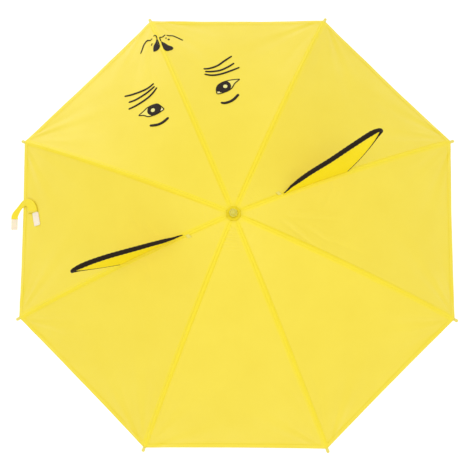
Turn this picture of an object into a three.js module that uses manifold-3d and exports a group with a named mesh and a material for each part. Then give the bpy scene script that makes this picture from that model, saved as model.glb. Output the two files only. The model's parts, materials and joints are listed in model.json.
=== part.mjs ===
// Children's stick umbrella, shown open: a hooked handle, a steel shaft, a sliding runner that
// works eight ribs through eight stretchers, and a fabric canopy of eight panels with two padded
// ears. Millimetres, +Z up along the shaft. The origin is on the shaft's axis at the middle of
// the grip, where a hand holds it. Rib 1 points along -Y, the side of the printed face, and the
// ribs count on by 45 degrees about +Z, so ribs 3 and 7, which carry the ears, lie along +X and -X.

import * as THREE from 'three';
import { mergeVertices } from 'three/addons/utils/BufferGeometryUtils.js';
import Module from 'manifold-3d';

const wasm = await Module();
wasm.setup();

// ---- Driving dimensions -------------------------------------------------------------------

const RIB_COUNT = 8;
const RIB_STEP = (2 * Math.PI) / RIB_COUNT;
const FIRST_RIB_ANGLE = -Math.PI / 2;
const EAR_RIBS = { ear_left: 3, ear_right: 7 };
const STRAP_PANEL = 2;

const GAP = 0.3; // between pieces that touch on the real umbrella

const CROWN_HEIGHT = 520; // of the canopy at the shaft, above the middle of the grip
const DOME_DROP = 175; // from the crown down to the rib tips
const TIP_RADIUS = 375;
const CROWN_SLOPE = 0.2; // share of the drop that is straight; the rest grows as the radius squared

const FABRIC_THICKNESS = 1;
const FABRIC_HOLE_RADIUS = 5.2;
const HEM_RADIUS = 367; // at the corners of the canopy
const SEAM_CLEARANCE = 0.3;
const PANEL_SAG = 7; // the most that a panel dips between its ribs
const SAG_SPAN = 0.84; // of the half wave that the dip follows from the shaft to the hem
const SAG_POWER = 1.6; // keeps the canopy level near the crown
const SAG_PULL = 0.35; // share of the dip by which the hem is drawn in
const PANEL_ROWS = 11;
const PANEL_COLUMNS = 6;

const SHAFT_RADIUS = 4;
const SHAFT_BORE_RADIUS = 3.3;
const SHAFT_BOTTOM = -37;
const SHAFT_TOP = 530;
const BORE_RADIUS = SHAFT_RADIUS + GAP; // of everything that fits on the shaft

const RIB_WIDTH = 2.4;
const RIB_HEIGHT = 2.8;
const RIB_WALL = 0.5;
const RIB_SEGMENTS = 12;
const RIB_BAR_START = 16;
const RIB_END_RADIUS = 368.5;
const RIB_DEPTH = 3.8; // of its centreline below the canopy's middle surface
const NOTCH_DIP = 2.7; // of a rib's inner end below the line that follows the canopy
const NOTCH_DIP_END = 60;
const TIP_DIP = 1.4; // of its outer end
const TIP_DIP_START = 330;
const TIP_DIP_SPAN = 36;
const BLADE_WIDTH = 1.6; // of the flattened ends that sit in the notch and in the runner
const BLADE_HEIGHT = 2.6;
const EYELET_RADIUS = 2;
const EYELET_HOLE_RADIUS = 0.95;
const WIRE_RADIUS = 0.6;

const NOTCH_WIRE_RING_RADIUS = 8;
const NOTCH_RADIUS = 11;
const NOTCH_CORE_RADIUS = 5.6;
const SLOT_WIDTH = 2.4;

const PIVOT_RADIUS = 165; // of the rivet that joins rib and stretcher
const RIVET_RADIUS = 0.8;
const RIVET_LENGTH = 3;
const STRETCHER_LENGTH = 180;
const STRETCHER_WIDTH = 4.8;
const STRETCHER_HEIGHT = 3.2;
const STRETCHER_WALL = 0.6;
const FORK_LENGTH = 32; // of the open fork that straddles the rib
const RUNNER_WIRE_RING_RADIUS = 9;
const RUNNER_RADIUS = 12;
const RUNNER_CORE_RADIUS = 6.3;
const SLEEVE_RADIUS = 7;
const SLEEVE_LENGTH = 46; // below the runner's wire ring
const RUNNER_TRAVEL = 205.2;

const CATCH_THICKNESS = 1.4;
const CATCH_ANGLE = FIRST_RIB_ANGLE + 2.5 * RIB_STEP; // both catches lie between two stretchers
const CATCH_REACH = 6.8; // of a catch's nose, from the shaft's axis
const CATCH_LENGTH = 15;
const CATCH_BACK_RADIUS = 0.6;
const CATCH_FOOT_RADIUS = 2.6;
const CATCH_NOSE = 1.2; // height of a catch's blunt nose
const CATCH_SLOT_WIDTH = 2;
const WINDOW_DEPTH = 14; // of the runner's window below its wire ring
const WINDOW_LENGTH = 11;
const WINDOW_WIDTH = 3;

const GRIP_RADIUS = 8.5;
const GRIP_TOP = 48;
const CROOK_RADIUS = 27;
const CROOK_END_RISE = 14;
const COLLAR_HEIGHT = 8;
const COLLAR_RADIUS = 10;
const COLLAR_TOP_RADIUS = 6.5;

const TIP_CAP_RADIUS = 2.8;
const TIP_CAP_BORE_RADIUS = 2.15;
const TIP_CAP_START = 363;
const TIP_CAP_LENGTH = 14;
const TIP_CAP_BORE_DEPTH = 8.5;

const CAP_RADIUS = 6.6;
const CAP_BOTTOM = 522.5;
const CAP_TOP = 534.5;
const WASHER_RADIUS = 10.5;
const ROSETTE_RADIUS = 10;

const EAR_INNER_RADIUS = 77; // where the ear's seam starts on its rib
const EAR_OUTER_RADIUS = 177;
const EAR_THICKNESS = 3.4;
const EAR_LEAN = { ear_left: 0.12, ear_right: 0.3 }; // radians towards the face
const EAR_HEIGHT = 80;
const EAR_TIP_ALONG = 144; // of the ear's tip, along its seam
// The ear's crest and outer edge, along its seam and above it.
const EAR_CREST = [[1, 3], [38, 36], [90, 67], [EAR_TIP_ALONG, EAR_HEIGHT]];
const EAR_OUTER_EDGE = [[120, 24], [136, 54]];
const PIPING_THICKNESS = 5.6;
const PIPING_DEPTH = 3;

const STRAP_SHARE = 0.32; // along its panel's hem
const STRAP_THICKNESS = 1;
const STRAP_LIFT = 1.6; // of its underside above the canopy
const STRAP_OVERLAP = 0.6; // of its two flat parts at the hem
// Corners of its flat parts, out from the hem and along it, for the part over the canopy and the
// part beyond it. Each part is a bridge at the fold and a leg, and each leg ends in a tab.
const INNER_BRIDGE = [-30, STRAP_OVERLAP, 4, 15];
const INNER_LEG = [-30, -12, 4, 27];
const OUTER_BRIDGE = [-STRAP_OVERLAP, 21, 4, 15];
const OUTER_LEG = [10, 21, 4, 34];
const HOOK_TAB = [-31, -20, 27, 46];
const LOOP_TAB = [10, 21, 34, 52];
const TAB_THICKNESS = 1.4;

// ---- Materials ----------------------------------------------------------------------------

const finish = (color, roughness, metalness) =>
  new THREE.MeshStandardMaterial({ color, roughness, metalness });
const STEEL = () => finish(0xb9bcc0, 0.3, 1);
const BRIGHT_WIRE = () => finish(0xd0d0cc, 0.25, 1);
const WHITE_PLASTIC = () => finish(0xeceadf, 0.4, 0);
const YELLOW_PLASTIC = () => finish(0xf6c91c, 0.3, 0);
const YELLOW_FABRIC = () => finish(0xf9e254, 0.7, 0);
const BLACK_TAPE = () => finish(0x2a2422, 0.8, 0);

// ---- Solids -------------------------------------------------------------------------------

/** A closed geometry as a solid that can be cut and joined. */
function solid(geometry) {
  const bare = geometry.clone();
  bare.deleteAttribute('normal');
  bare.deleteAttribute('uv');
  const merged = mergeVertices(bare, 1e-4);
  return new wasm.Manifold(new wasm.Mesh({
    numProp: 3,
    vertProperties: new Float32Array(merged.attributes.position.array),
    triVerts: new Uint32Array(merged.index.array),
  }));
}

/** A solid as a geometry again. */
function geometryOf(cut) {
  const { vertProperties, triVerts } = cut.getMesh();
  const geometry = new THREE.BufferGeometry();
  geometry.setAttribute('position', new THREE.BufferAttribute(vertProperties, 3));
  geometry.setIndex(new THREE.BufferAttribute(triVerts, 1));
  return geometry;
}

const umbrella = new THREE.Group();

/** Adds one sub-part to a group. */
function add(name, geometry, material, group = umbrella) {
  const part = new THREE.Mesh(geometry, material());
  part.name = name;
  group.add(part);
  return part;
}

/** A group turned about the shaft, whose own +X then points outwards along that angle. */
function turned(angle) {
  const group = new THREE.Group();
  group.rotation.z = angle;
  umbrella.add(group);
  return group;
}

/** A ring or disc turned about the shaft from [radius, height] corners. */
function lathe(corners, segments = 24) {
  const profile = [...corners, corners[0]].map(([r, z]) => new THREE.Vector2(r, z));
  return new THREE.LatheGeometry(profile, segments).rotateX(Math.PI / 2);
}

/** A flat outline drawn in radius and height, made into a plate of the given width across it. */
function plate(outline, width) {
  const shape = new THREE.Shape(outline.map(([x, z]) => new THREE.Vector2(x, z)));
  const options = { depth: width, bevelEnabled: false };
  return new THREE.ExtrudeGeometry(shape, options).translate(0, 0, -width / 2)
    .rotateX(Math.PI / 2);
}

/** A round pin across the plate's plane, through the point at this radius and height. */
function crossPin(x, z, radius, length, sides = 12) {
  return new THREE.CylinderGeometry(radius, radius, length, sides).translate(x, 0, z);
}

/** A strip along a line in radius and height, reaching up and down from it by these amounts. */
function strip(line, from, to, steps, up, down) {
  const upper = [];
  const lower = [];
  for (let i = 0; i <= steps; i++) {
    const x = from + ((to - from) * i) / steps;
    const slope = (line(x + 0.1) - line(x - 0.1)) / 0.2;
    const length = Math.hypot(1, slope);
    const normal = [-slope / length, 1 / length];
    upper.push([x + normal[0] * up, line(x) + normal[1] * up]);
    lower.push([x - normal[0] * down, line(x) - normal[1] * down]);
  }
  return [...lower, ...upper.reverse()];
}

// ---- The dome -----------------------------------------------------------------------------

/** Height of the canopy's middle surface over a rib, at this distance from the shaft. */
function canopyHeight(radius) {
  const share = radius / TIP_RADIUS;
  return CROWN_HEIGHT - DOME_DROP * (CROWN_SLOPE * share + (1 - CROWN_SLOPE) * share ** 2);
}

/** Height of a rib's centreline, which dips to the notch and again into the tip cap. */
function ribHeight(radius) {
  const towardsNotch = Math.max(0, 1 - radius / NOTCH_DIP_END);
  const towardsTip = Math.max(0, (radius - TIP_DIP_START) / TIP_DIP_SPAN);
  return canopyHeight(radius) - RIB_DEPTH - NOTCH_DIP * towardsNotch ** 2
    - TIP_DIP * towardsTip ** 2;
}

const ribAngle = (number) => FIRST_RIB_ANGLE + (number - 1) * RIB_STEP;
const notchLevel = ribHeight(NOTCH_WIRE_RING_RADIUS);
const pivotHeight = ribHeight(PIVOT_RADIUS);
const stretcherRun = PIVOT_RADIUS - RUNNER_WIRE_RING_RADIUS;
const stretcherRise = Math.sqrt(STRETCHER_LENGTH ** 2 - stretcherRun ** 2);
const runnerLevel = pivotHeight - stretcherRise;

// ---- Shaft, handle and fittings at the crown ----------------------------------------------

/** A catch's outline in radius and height: its shoulder is at height 0 and its foot below it. */
function catchOutline() {
  return [[CATCH_BACK_RADIUS, 0], [CATCH_BACK_RADIUS, -CATCH_LENGTH],
    [CATCH_FOOT_RADIUS, -CATCH_LENGTH], [CATCH_REACH, -CATCH_NOSE], [CATCH_REACH - 0.4, 0]];
}

const topCatchShoulder = runnerLevel - SLEEVE_LENGTH - GAP;
const bottomCatchShoulder = runnerLevel - RUNNER_TRAVEL - WINDOW_DEPTH - WINDOW_LENGTH + GAP;

/** The slot in the shaft's wall that a catch springs out of; direction is 1 if its foot is below. */
function catchSlot(shoulder, direction) {
  const length = CATCH_LENGTH;
  const middle = shoulder - direction * (length / 2 - CATCH_NOSE);
  const box = new THREE.BoxGeometry(SHAFT_RADIUS, CATCH_SLOT_WIDTH, length);
  return solid(box.translate(SHAFT_RADIUS, 0, middle).rotateZ(CATCH_ANGLE));
}

function makeShaft() {
  const tube = lathe([[SHAFT_BORE_RADIUS, SHAFT_BOTTOM], [SHAFT_RADIUS, SHAFT_BOTTOM],
    [SHAFT_RADIUS, SHAFT_TOP], [SHAFT_BORE_RADIUS, SHAFT_TOP]], 20);
  const cut = solid(tube).subtract(catchSlot(topCatchShoulder, 1))
    .subtract(catchSlot(bottomCatchShoulder, -1));
  add('shaft', geometryOf(cut), STEEL);
}

function makeCatches() {
  const top = plate(catchOutline(), CATCH_THICKNESS).translate(0, 0, topCatchShoulder);
  add('top_spring_catch', top.rotateZ(CATCH_ANGLE), BRIGHT_WIRE);
  const turnedOver = catchOutline().map(([x, z]) => [x, -z]).reverse();
  const bottom = plate(turnedOver, CATCH_THICKNESS).translate(0, 0, bottomCatchShoulder);
  add('bottom_spring_catch', bottom.rotateZ(CATCH_ANGLE), BRIGHT_WIRE);
}

/** The hooked handle: a straight grip, then half a turn towards +Y that ends in a short rise. */
function makeHandle() {
  const path = new THREE.CurvePath();
  const crookEnd = new THREE.Vector3(0, 2 * CROOK_RADIUS, -GRIP_TOP);
  path.add(new THREE.LineCurve3(new THREE.Vector3(0, 0, GRIP_TOP),
    new THREE.Vector3(0, 0, -GRIP_TOP)));
  const turn = new THREE.Curve();
  turn.getPoint = (t, target = new THREE.Vector3()) => target.set(0,
    CROOK_RADIUS * (1 - Math.cos(Math.PI * t)), -GRIP_TOP - CROOK_RADIUS * Math.sin(Math.PI * t));
  path.add(turn);
  path.add(new THREE.LineCurve3(crookEnd, crookEnd.clone().add(
    new THREE.Vector3(0, 0, CROOK_END_RISE))));
  const section = new THREE.Shape().absarc(0, 0, GRIP_RADIUS, 0, 2 * Math.PI);
  const crook = new THREE.ExtrudeGeometry(section,
    { steps: 22, extrudePath: path, curveSegments: 7, bevelEnabled: false });
  const depth = GRIP_TOP - SHAFT_BOTTOM + 1;
  const bore = new THREE.CylinderGeometry(BORE_RADIUS, BORE_RADIUS, depth, 20)
    .rotateX(Math.PI / 2).translate(0, 0, SHAFT_BOTTOM - GAP + depth / 2);
  add('handle', geometryOf(solid(crook).subtract(solid(bore))), YELLOW_PLASTIC);

  const low = GRIP_TOP + GAP;
  add('handle_collar', lathe([[BORE_RADIUS, low], [COLLAR_RADIUS, low],
    [COLLAR_RADIUS, low + COLLAR_HEIGHT - 3], [COLLAR_TOP_RADIUS, low + COLLAR_HEIGHT],
    [BORE_RADIUS, low + COLLAR_HEIGHT]]), WHITE_PLASTIC);
}

/** Slots for eight blades: one box for each rib, from the inner radius outwards. */
function slots(innerRadius, low, high) {
  const length = 12;
  let all = null;
  for (let number = 1; number <= RIB_COUNT; number++) {
    const box = new THREE.BoxGeometry(length, SLOT_WIDTH, high - low)
      .translate(innerRadius + length / 2, 0, (high + low) / 2).rotateZ(ribAngle(number));
    all = all ? all.add(solid(box)) : solid(box);
  }
  return all;
}

/** The groove that a wire ring lies in, open outwards. */
function wireGroove(ringRadius, level) {
  const half = WIRE_RADIUS + 0.35;
  const inner = ringRadius - half + 0.1;
  const outer = ringRadius + 6;
  return solid(lathe([[inner, level - half], [outer, level - half], [outer, level + half],
    [inner, level + half]]));
}

function wireRing(radius, level) {
  return new THREE.TorusGeometry(radius, WIRE_RADIUS, 6, 24).translate(0, 0, level);
}

function makeCrown() {
  const low = notchLevel - 3.2;
  const high = notchLevel + 3.5;
  const body = solid(lathe([[BORE_RADIUS, low], [NOTCH_RADIUS, low], [NOTCH_RADIUS, high],
    [BORE_RADIUS, high]]));
  const notch = body.subtract(slots(NOTCH_CORE_RADIUS, low - 1, notchLevel + EYELET_RADIUS + GAP))
    .subtract(wireGroove(NOTCH_WIRE_RING_RADIUS, notchLevel));
  add('top_notch', geometryOf(notch), WHITE_PLASTIC);
  add('notch_wire_ring', wireRing(NOTCH_WIRE_RING_RADIUS, notchLevel), BRIGHT_WIRE);

  const under = high + GAP;
  const over = canopyHeight(ROSETTE_RADIUS) - FABRIC_THICKNESS / 2 - 2 * GAP;
  add('canopy_rosette', lathe([[BORE_RADIUS, under], [ROSETTE_RADIUS, under],
    [ROSETTE_RADIUS, over], [BORE_RADIUS, over]]), YELLOW_FABRIC);

  const brim = CAP_BOTTOM - 0.4;
  add('canopy_washer', lathe([[BORE_RADIUS, CROWN_HEIGHT + 0.6], [WASHER_RADIUS, CROWN_HEIGHT - 0.1],
    [WASHER_RADIUS, CROWN_HEIGHT + 1], [WASHER_RADIUS - 1.5, brim], [BORE_RADIUS, brim]]),
  YELLOW_FABRIC);

  const roof = SHAFT_TOP + GAP;
  add('top_cap', lathe([[BORE_RADIUS, CAP_BOTTOM], [CAP_RADIUS, CAP_BOTTOM],
    [CAP_RADIUS, CAP_TOP - 4], [CAP_RADIUS - 1, CAP_TOP - 1.4], [CAP_RADIUS - 2.8, CAP_TOP],
    [0, CAP_TOP], [0, roof], [BORE_RADIUS, roof]]), WHITE_PLASTIC);
}

// ---- Runner -------------------------------------------------------------------------------

function makeRunner() {
  const top = runnerLevel + 3.4;
  const bottom = runnerLevel - SLEEVE_LENGTH;
  const flange = runnerLevel - 4;
  const body = solid(lathe([[BORE_RADIUS, bottom], [SLEEVE_RADIUS, bottom],
    [SLEEVE_RADIUS, flange - 5], [RUNNER_RADIUS, flange], [RUNNER_RADIUS, top],
    [BORE_RADIUS, top]]));
  const window = new THREE.BoxGeometry(10, WINDOW_WIDTH, WINDOW_LENGTH).translate(
    SHAFT_RADIUS + 5, 0, runnerLevel - WINDOW_DEPTH - WINDOW_LENGTH / 2).rotateZ(CATCH_ANGLE);
  const runner = body.subtract(slots(RUNNER_CORE_RADIUS, flange + 0.6, top + 1))
    .subtract(wireGroove(RUNNER_WIRE_RING_RADIUS, runnerLevel)).subtract(solid(window));
  add('runner', geometryOf(runner), WHITE_PLASTIC);
  add('runner_wire_ring', wireRing(RUNNER_WIRE_RING_RADIUS, runnerLevel), BRIGHT_WIRE);

  const inner = SLEEVE_RADIUS + GAP;
  add('runner_collar', lathe([[inner, bottom], [9.4, bottom], [10.4, bottom + 2.5],
    [9.2, bottom + 7], [10.4, bottom + 11.5], [9.4, bottom + 14], [inner, bottom + 14]]),
  YELLOW_PLASTIC);
}

// ---- Ribs and stretchers ------------------------------------------------------------------

/** A channel rib, open below, whose inner end is flattened into a blade with an eyelet. */
function ribSolid() {
  const half = RIB_HEIGHT / 2;
  const bar = solid(plate(strip(ribHeight, RIB_BAR_START, RIB_END_RADIUS, RIB_SEGMENTS, half, half),
    RIB_WIDTH));
  const channel = solid(plate(strip(ribHeight, RIB_BAR_START + 8, TIP_CAP_START - 3, RIB_SEGMENTS,
    half - RIB_WALL, half + 1), RIB_WIDTH - 2 * RIB_WALL));
  const blade = solid(plate(strip(ribHeight, NOTCH_WIRE_RING_RADIUS, RIB_BAR_START + 2, 2,
    BLADE_HEIGHT / 2, BLADE_HEIGHT / 2), BLADE_WIDTH));
  const at = [NOTCH_WIRE_RING_RADIUS, notchLevel];
  return bar.subtract(channel).add(blade)
    .add(solid(crossPin(...at, EYELET_RADIUS, BLADE_WIDTH)))
    .subtract(solid(crossPin(...at, EYELET_HOLE_RADIUS, 4)))
    .subtract(solid(crossPin(PIVOT_RADIUS, pivotHeight, RIVET_RADIUS + 0.1, 4)));
}

/** A channel stretcher, open above, lying along +X from its eyelet at the origin. */
function stretcherSolid() {
  const half = STRETCHER_HEIGHT / 2;
  const end = STRETCHER_LENGTH + 2.2;
  const start = 16;
  const bar = solid(plate([[start, -half], [end - 1, -half], [end, -half + 1],
    [end, half - 1], [end - 1, half], [start, half]], STRETCHER_WIDTH));
  const inside = STRETCHER_WIDTH - 2 * STRETCHER_WALL;
  const channel = solid(plate([[start + 8, STRETCHER_WALL - half], [end + 1, STRETCHER_WALL - half],
    [end + 1, half + 1], [start + 8, half + 1]], inside));
  const forkStart = STRETCHER_LENGTH - FORK_LENGTH;
  const fork = solid(plate([[forkStart, -half - 1], [end + 1, -half - 1], [end + 1, half + 1],
    [forkStart, half + 1]], inside));
  const blade = solid(plate([[0, -BLADE_HEIGHT / 2], [start + 2, -BLADE_HEIGHT / 2],
    [start + 2, BLADE_HEIGHT / 2], [0, BLADE_HEIGHT / 2]], BLADE_WIDTH));
  return bar.subtract(channel).subtract(fork).add(blade)
    .add(solid(crossPin(0, 0, EYELET_RADIUS, BLADE_WIDTH)))
    .subtract(solid(crossPin(0, 0, EYELET_HOLE_RADIUS, 4)));
}

/** The cap that is pressed over a rib's end and holds the canopy's corner. */
function tipCap() {
  const end = TIP_CAP_LENGTH;
  const corners = [[TIP_CAP_BORE_RADIUS, 0], [TIP_CAP_RADIUS, 0], [TIP_CAP_RADIUS, end - 2.5],
    [TIP_CAP_RADIUS - 1, end - 0.5], [TIP_CAP_RADIUS - 2, end], [0, end],
    [0, TIP_CAP_BORE_DEPTH], [TIP_CAP_BORE_RADIUS, TIP_CAP_BORE_DEPTH]];
  const slope = Math.atan2(ribHeight(RIB_END_RADIUS) - ribHeight(TIP_CAP_START),
    RIB_END_RADIUS - TIP_CAP_START);
  return lathe(corners, 10).rotateY(Math.PI / 2 - slope)
    .translate(TIP_CAP_START, 0, ribHeight(TIP_CAP_START));
}

function makeRibs() {
  const rib = geometryOf(ribSolid());
  const stretcher = geometryOf(stretcherSolid());
  const cap = tipCap();
  const rivet = crossPin(PIVOT_RADIUS, pivotHeight, RIVET_RADIUS, RIVET_LENGTH, 10);
  for (let number = 1; number <= RIB_COUNT; number++) {
    const group = turned(ribAngle(number));
    add(`rib_${number}`, rib, STEEL, group);
    add(`rib_tip_${number}`, cap, WHITE_PLASTIC, group);
    add(`rivet_${number}`, rivet, BRIGHT_WIRE, group);
    const arm = add(`stretcher_${number}`, stretcher, STEEL, group);
    arm.position.set(RUNNER_WIRE_RING_RADIUS, 0, runnerLevel);
    arm.rotation.y = -Math.atan2(stretcherRise, stretcherRun);
  }
}

// ---- Canopy -------------------------------------------------------------------------------

/** A point of a panel's middle surface: across it from 0 to 1, and out from the shaft. */
function panelPoint(number, across, radius) {
  const [a, b] = [number, number + 1].map((n) => new THREE.Vector3(
    radius * Math.cos(ribAngle(n)), radius * Math.sin(ribAngle(n)), canopyHeight(radius)));
  const share = radius / HEM_RADIUS;
  const fullness = Math.sin(Math.PI * SAG_SPAN * share) ** SAG_POWER;
  const sag = PANEL_SAG * fullness * 4 * across * (1 - across);
  const middle = ribAngle(number + 0.5);
  const pull = SAG_PULL * share * sag;
  return a.lerp(b, across).add(new THREE.Vector3(
    -pull * Math.cos(middle), -pull * Math.sin(middle), -sag));
}

/** The outward normal of a panel's middle surface. */
function panelNormal(number, across, radius) {
  const step = 0.01;
  const along = panelPoint(number, across, radius + 1).sub(panelPoint(number, across, radius - 1));
  const over = panelPoint(number, across + step, radius)
    .sub(panelPoint(number, across - step, radius));
  return along.cross(over).normalize();
}

/** A closed shell from two facing grids of points, the first of them the outer face. */
function shell(outer, inner) {
  const rows = outer.length;
  const columns = outer[0].length;
  const points = [...outer.flat(), ...inner.flat()];
  const count = rows * columns;
  const index = [];
  const quad = (a, b, c, d) => index.push(a, b, c, a, c, d);
  const at = (row, column) => row * columns + column;
  for (let i = 0; i < rows - 1; i++) {
    for (let j = 0; j < columns - 1; j++) {
      const corners = [at(i, j), at(i + 1, j), at(i + 1, j + 1), at(i, j + 1)];
      quad(...corners);
      quad(...corners.map((n) => n + count).reverse());
    }
  }
  const edge = [];
  for (let j = 0; j < columns - 1; j++) edge.push(at(0, j));
  for (let i = 0; i < rows - 1; i++) edge.push(at(i, columns - 1));
  for (let j = columns - 1; j > 0; j--) edge.push(at(rows - 1, j));
  for (let i = rows - 1; i > 0; i--) edge.push(at(i, 0));
  edge.forEach((n, i) => {
    const next = edge[(i + 1) % edge.length];
    quad(n, next, next + count, n + count);
  });
  const geometry = new THREE.BufferGeometry();
  geometry.setAttribute('position', new THREE.BufferAttribute(
    new Float32Array(points.flatMap((p) => p.toArray())), 3));
  geometry.setIndex(index);
  return geometry;
}

function makePanel(number) {
  const faces = [1, -1].map((side) => {
    const grid = [];
    for (let i = 0; i <= PANEL_ROWS; i++) {
      const radius = FABRIC_HOLE_RADIUS
        + (HEM_RADIUS - FABRIC_HOLE_RADIUS) * (i / PANEL_ROWS);
      const width = 2 * radius * Math.sin(RIB_STEP / 2);
      const edge = SEAM_CLEARANCE / (width * Math.cos(RIB_STEP / 2));
      const row = [];
      for (let j = 0; j <= PANEL_COLUMNS; j++) {
        const across = edge + (1 - 2 * edge) * (j / PANEL_COLUMNS);
        row.push(panelPoint(number, across, radius).addScaledVector(
          panelNormal(number, across, radius), (side * FABRIC_THICKNESS) / 2));
      }
      grid.push(row);
    }
    return grid;
  });
  add(`canopy_panel_${number}`, shell(...faces), YELLOW_FABRIC);
}

// ---- Ears ---------------------------------------------------------------------------------

const earCrest = new THREE.SplineCurve(EAR_CREST.map(([x, y]) => new THREE.Vector2(x, y)));
const CREST_STEPS = 8;

function makeEar(name) {
  const start = canopyHeight(EAR_INNER_RADIUS);
  const run = EAR_OUTER_RADIUS - EAR_INNER_RADIUS;
  const fall = start - canopyHeight(EAR_OUTER_RADIUS);
  const length = Math.hypot(run, fall);
  const clear = FABRIC_THICKNESS / 2 + 2 * GAP;

  const foot = [];
  for (let i = 0; i <= 4; i++) {
    const radius = EAR_INNER_RADIUS + (run * i) / 4;
    const [x, z] = [radius - EAR_INNER_RADIUS, canopyHeight(radius) - start];
    foot.push(new THREE.Vector2((x * run - z * fall) / length, (x * fall + z * run) / length
      + clear));
  }
  const outerEdge = EAR_OUTER_EDGE.map(([x, y]) => new THREE.Vector2(x, y));
  const crest = earCrest.getPoints(CREST_STEPS);
  const leaf = new THREE.Shape([...foot, ...outerEdge, ...[...crest].reverse()]);
  const flat = (shape, depth) => new THREE.ExtrudeGeometry(shape,
    { depth, bevelEnabled: false }).translate(0, 0, -depth / 2);

  const beyond = (distance) => crest.map((p, i) => {
    const tangent = earCrest.getTangent(i / CREST_STEPS);
    return new THREE.Vector2(p.x - tangent.y * distance, p.y + tangent.x * distance);
  });
  const piping = new THREE.Shape([...beyond(GAP), ...beyond(GAP + PIPING_DEPTH).reverse()]);

  // The ear's plane holds its seam, and leans about it towards the face.
  const angle = ribAngle(EAR_RIBS[name]);
  const radial = new THREE.Vector3(Math.cos(angle), Math.sin(angle), 0);
  const along = radial.clone().multiplyScalar(run / length);
  along.z = -fall / length;
  const upright = radial.clone().multiplyScalar(fall / length);
  upright.z = run / length;
  const lean = EAR_LEAN[name];
  const up = upright.multiplyScalar(Math.cos(lean)).add(new THREE.Vector3(0, -Math.sin(lean), 0));
  const place = new THREE.Matrix4().makeBasis(along, up, along.clone().cross(up));
  place.setPosition(radial.multiplyScalar(EAR_INNER_RADIUS).setZ(start));
  add(name, flat(leaf, EAR_THICKNESS).applyMatrix4(place), YELLOW_FABRIC);
  add(`${name}_piping`, flat(piping, PIPING_THICKNESS).applyMatrix4(place), BLACK_TAPE);
}

// ---- Tie strap ----------------------------------------------------------------------------

/** A flat piece of the strap from its corners, out from the hem and along it. */
function strapPiece([inner, outer, start, end], thickness, lift, place) {
  const box = new THREE.BoxGeometry(outer - inner, end - start, thickness);
  return box.translate((inner + outer) / 2, (start + end) / 2, lift + thickness / 2)
    .applyMatrix4(place);
}

/** The strap crosses the hem: one leg lies on the canopy and the other sticks out level. */
function makeStrap() {
  const at = panelPoint(STRAP_PANEL, STRAP_SHARE, HEM_RADIUS);
  const normal = panelNormal(STRAP_PANEL, STRAP_SHARE, HEM_RADIUS - 2);
  const along = panelPoint(STRAP_PANEL, STRAP_SHARE + 0.01, HEM_RADIUS).sub(at).normalize();
  const out = along.clone().cross(normal).normalize();
  const onCanopy = new THREE.Matrix4().makeBasis(out, along, out.clone().cross(along));
  const levelAlong = along.clone().setZ(0).normalize();
  const levelOut = levelAlong.clone().cross(new THREE.Vector3(0, 0, 1));
  const level = new THREE.Matrix4().makeBasis(levelOut, levelAlong, new THREE.Vector3(0, 0, 1));
  onCanopy.setPosition(at);
  level.setPosition(at);

  const lift = FABRIC_THICKNESS / 2 + STRAP_LIFT;
  const band = [[INNER_BRIDGE, onCanopy], [INNER_LEG, onCanopy], [OUTER_BRIDGE, level],
    [OUTER_LEG, level]].map(([corners, place]) => solid(strapPiece(corners, STRAP_THICKNESS,
    lift, place)));
  add('tie_strap', geometryOf(band.reduce((all, piece) => all.add(piece))), YELLOW_FABRIC);
  [['tie_strap_hook_tab', HOOK_TAB, onCanopy], ['tie_strap_loop_tab', LOOP_TAB, level]]
    .forEach(([name, [inner, outer, start, end], place]) => {
      add(name, strapPiece([inner, outer, start + GAP, end], TAB_THICKNESS, lift, place),
        WHITE_PLASTIC);
    });
}

makeShaft();
makeCatches();
makeHandle();
makeCrown();
makeRunner();
makeRibs();
for (let number = 1; number <= RIB_COUNT; number++) makePanel(number);
Object.keys(EAR_RIBS).forEach(makeEar);
makeStrap();

export default umbrella;
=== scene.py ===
"""A child's stick umbrella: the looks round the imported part. Lengths are in mm until a mesh is made."""

import json
import math

import bpy
import numpy as np
from mathutils import Matrix, Vector


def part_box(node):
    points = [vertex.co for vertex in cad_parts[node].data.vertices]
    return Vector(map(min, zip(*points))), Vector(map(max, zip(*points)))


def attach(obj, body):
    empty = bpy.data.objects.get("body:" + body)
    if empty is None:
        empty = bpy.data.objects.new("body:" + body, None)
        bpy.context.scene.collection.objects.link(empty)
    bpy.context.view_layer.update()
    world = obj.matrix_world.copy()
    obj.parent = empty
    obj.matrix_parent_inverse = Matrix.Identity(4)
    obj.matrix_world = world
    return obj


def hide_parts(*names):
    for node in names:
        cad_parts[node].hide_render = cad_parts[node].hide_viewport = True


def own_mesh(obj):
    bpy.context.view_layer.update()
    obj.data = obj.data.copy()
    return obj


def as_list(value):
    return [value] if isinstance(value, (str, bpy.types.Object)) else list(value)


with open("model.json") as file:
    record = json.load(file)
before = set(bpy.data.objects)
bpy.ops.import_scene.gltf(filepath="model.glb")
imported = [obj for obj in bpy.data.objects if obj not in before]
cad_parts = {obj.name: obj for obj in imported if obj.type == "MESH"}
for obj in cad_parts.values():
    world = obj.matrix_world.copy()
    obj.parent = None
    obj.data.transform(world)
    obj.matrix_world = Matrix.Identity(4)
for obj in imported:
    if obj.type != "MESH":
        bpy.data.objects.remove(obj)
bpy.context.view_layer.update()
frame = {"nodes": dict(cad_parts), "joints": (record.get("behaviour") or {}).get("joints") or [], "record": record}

MM = 0.001
PI = math.pi

# ---- The canopy's shape, as in the part ----------------------------------------------------

RIBS = 8
RIB_STEP = 2 * PI / RIBS
CROWN_HEIGHT = 520
DOME_DROP = 175
TIP_RADIUS = 375
CROWN_SLOPE = 0.2
HOLE_RADIUS = 5.2
HEM_RADIUS = 367
PANEL_SAG = 7
SAG_SPAN = 0.84
SEAM_CLEARANCE = 0.25

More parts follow.
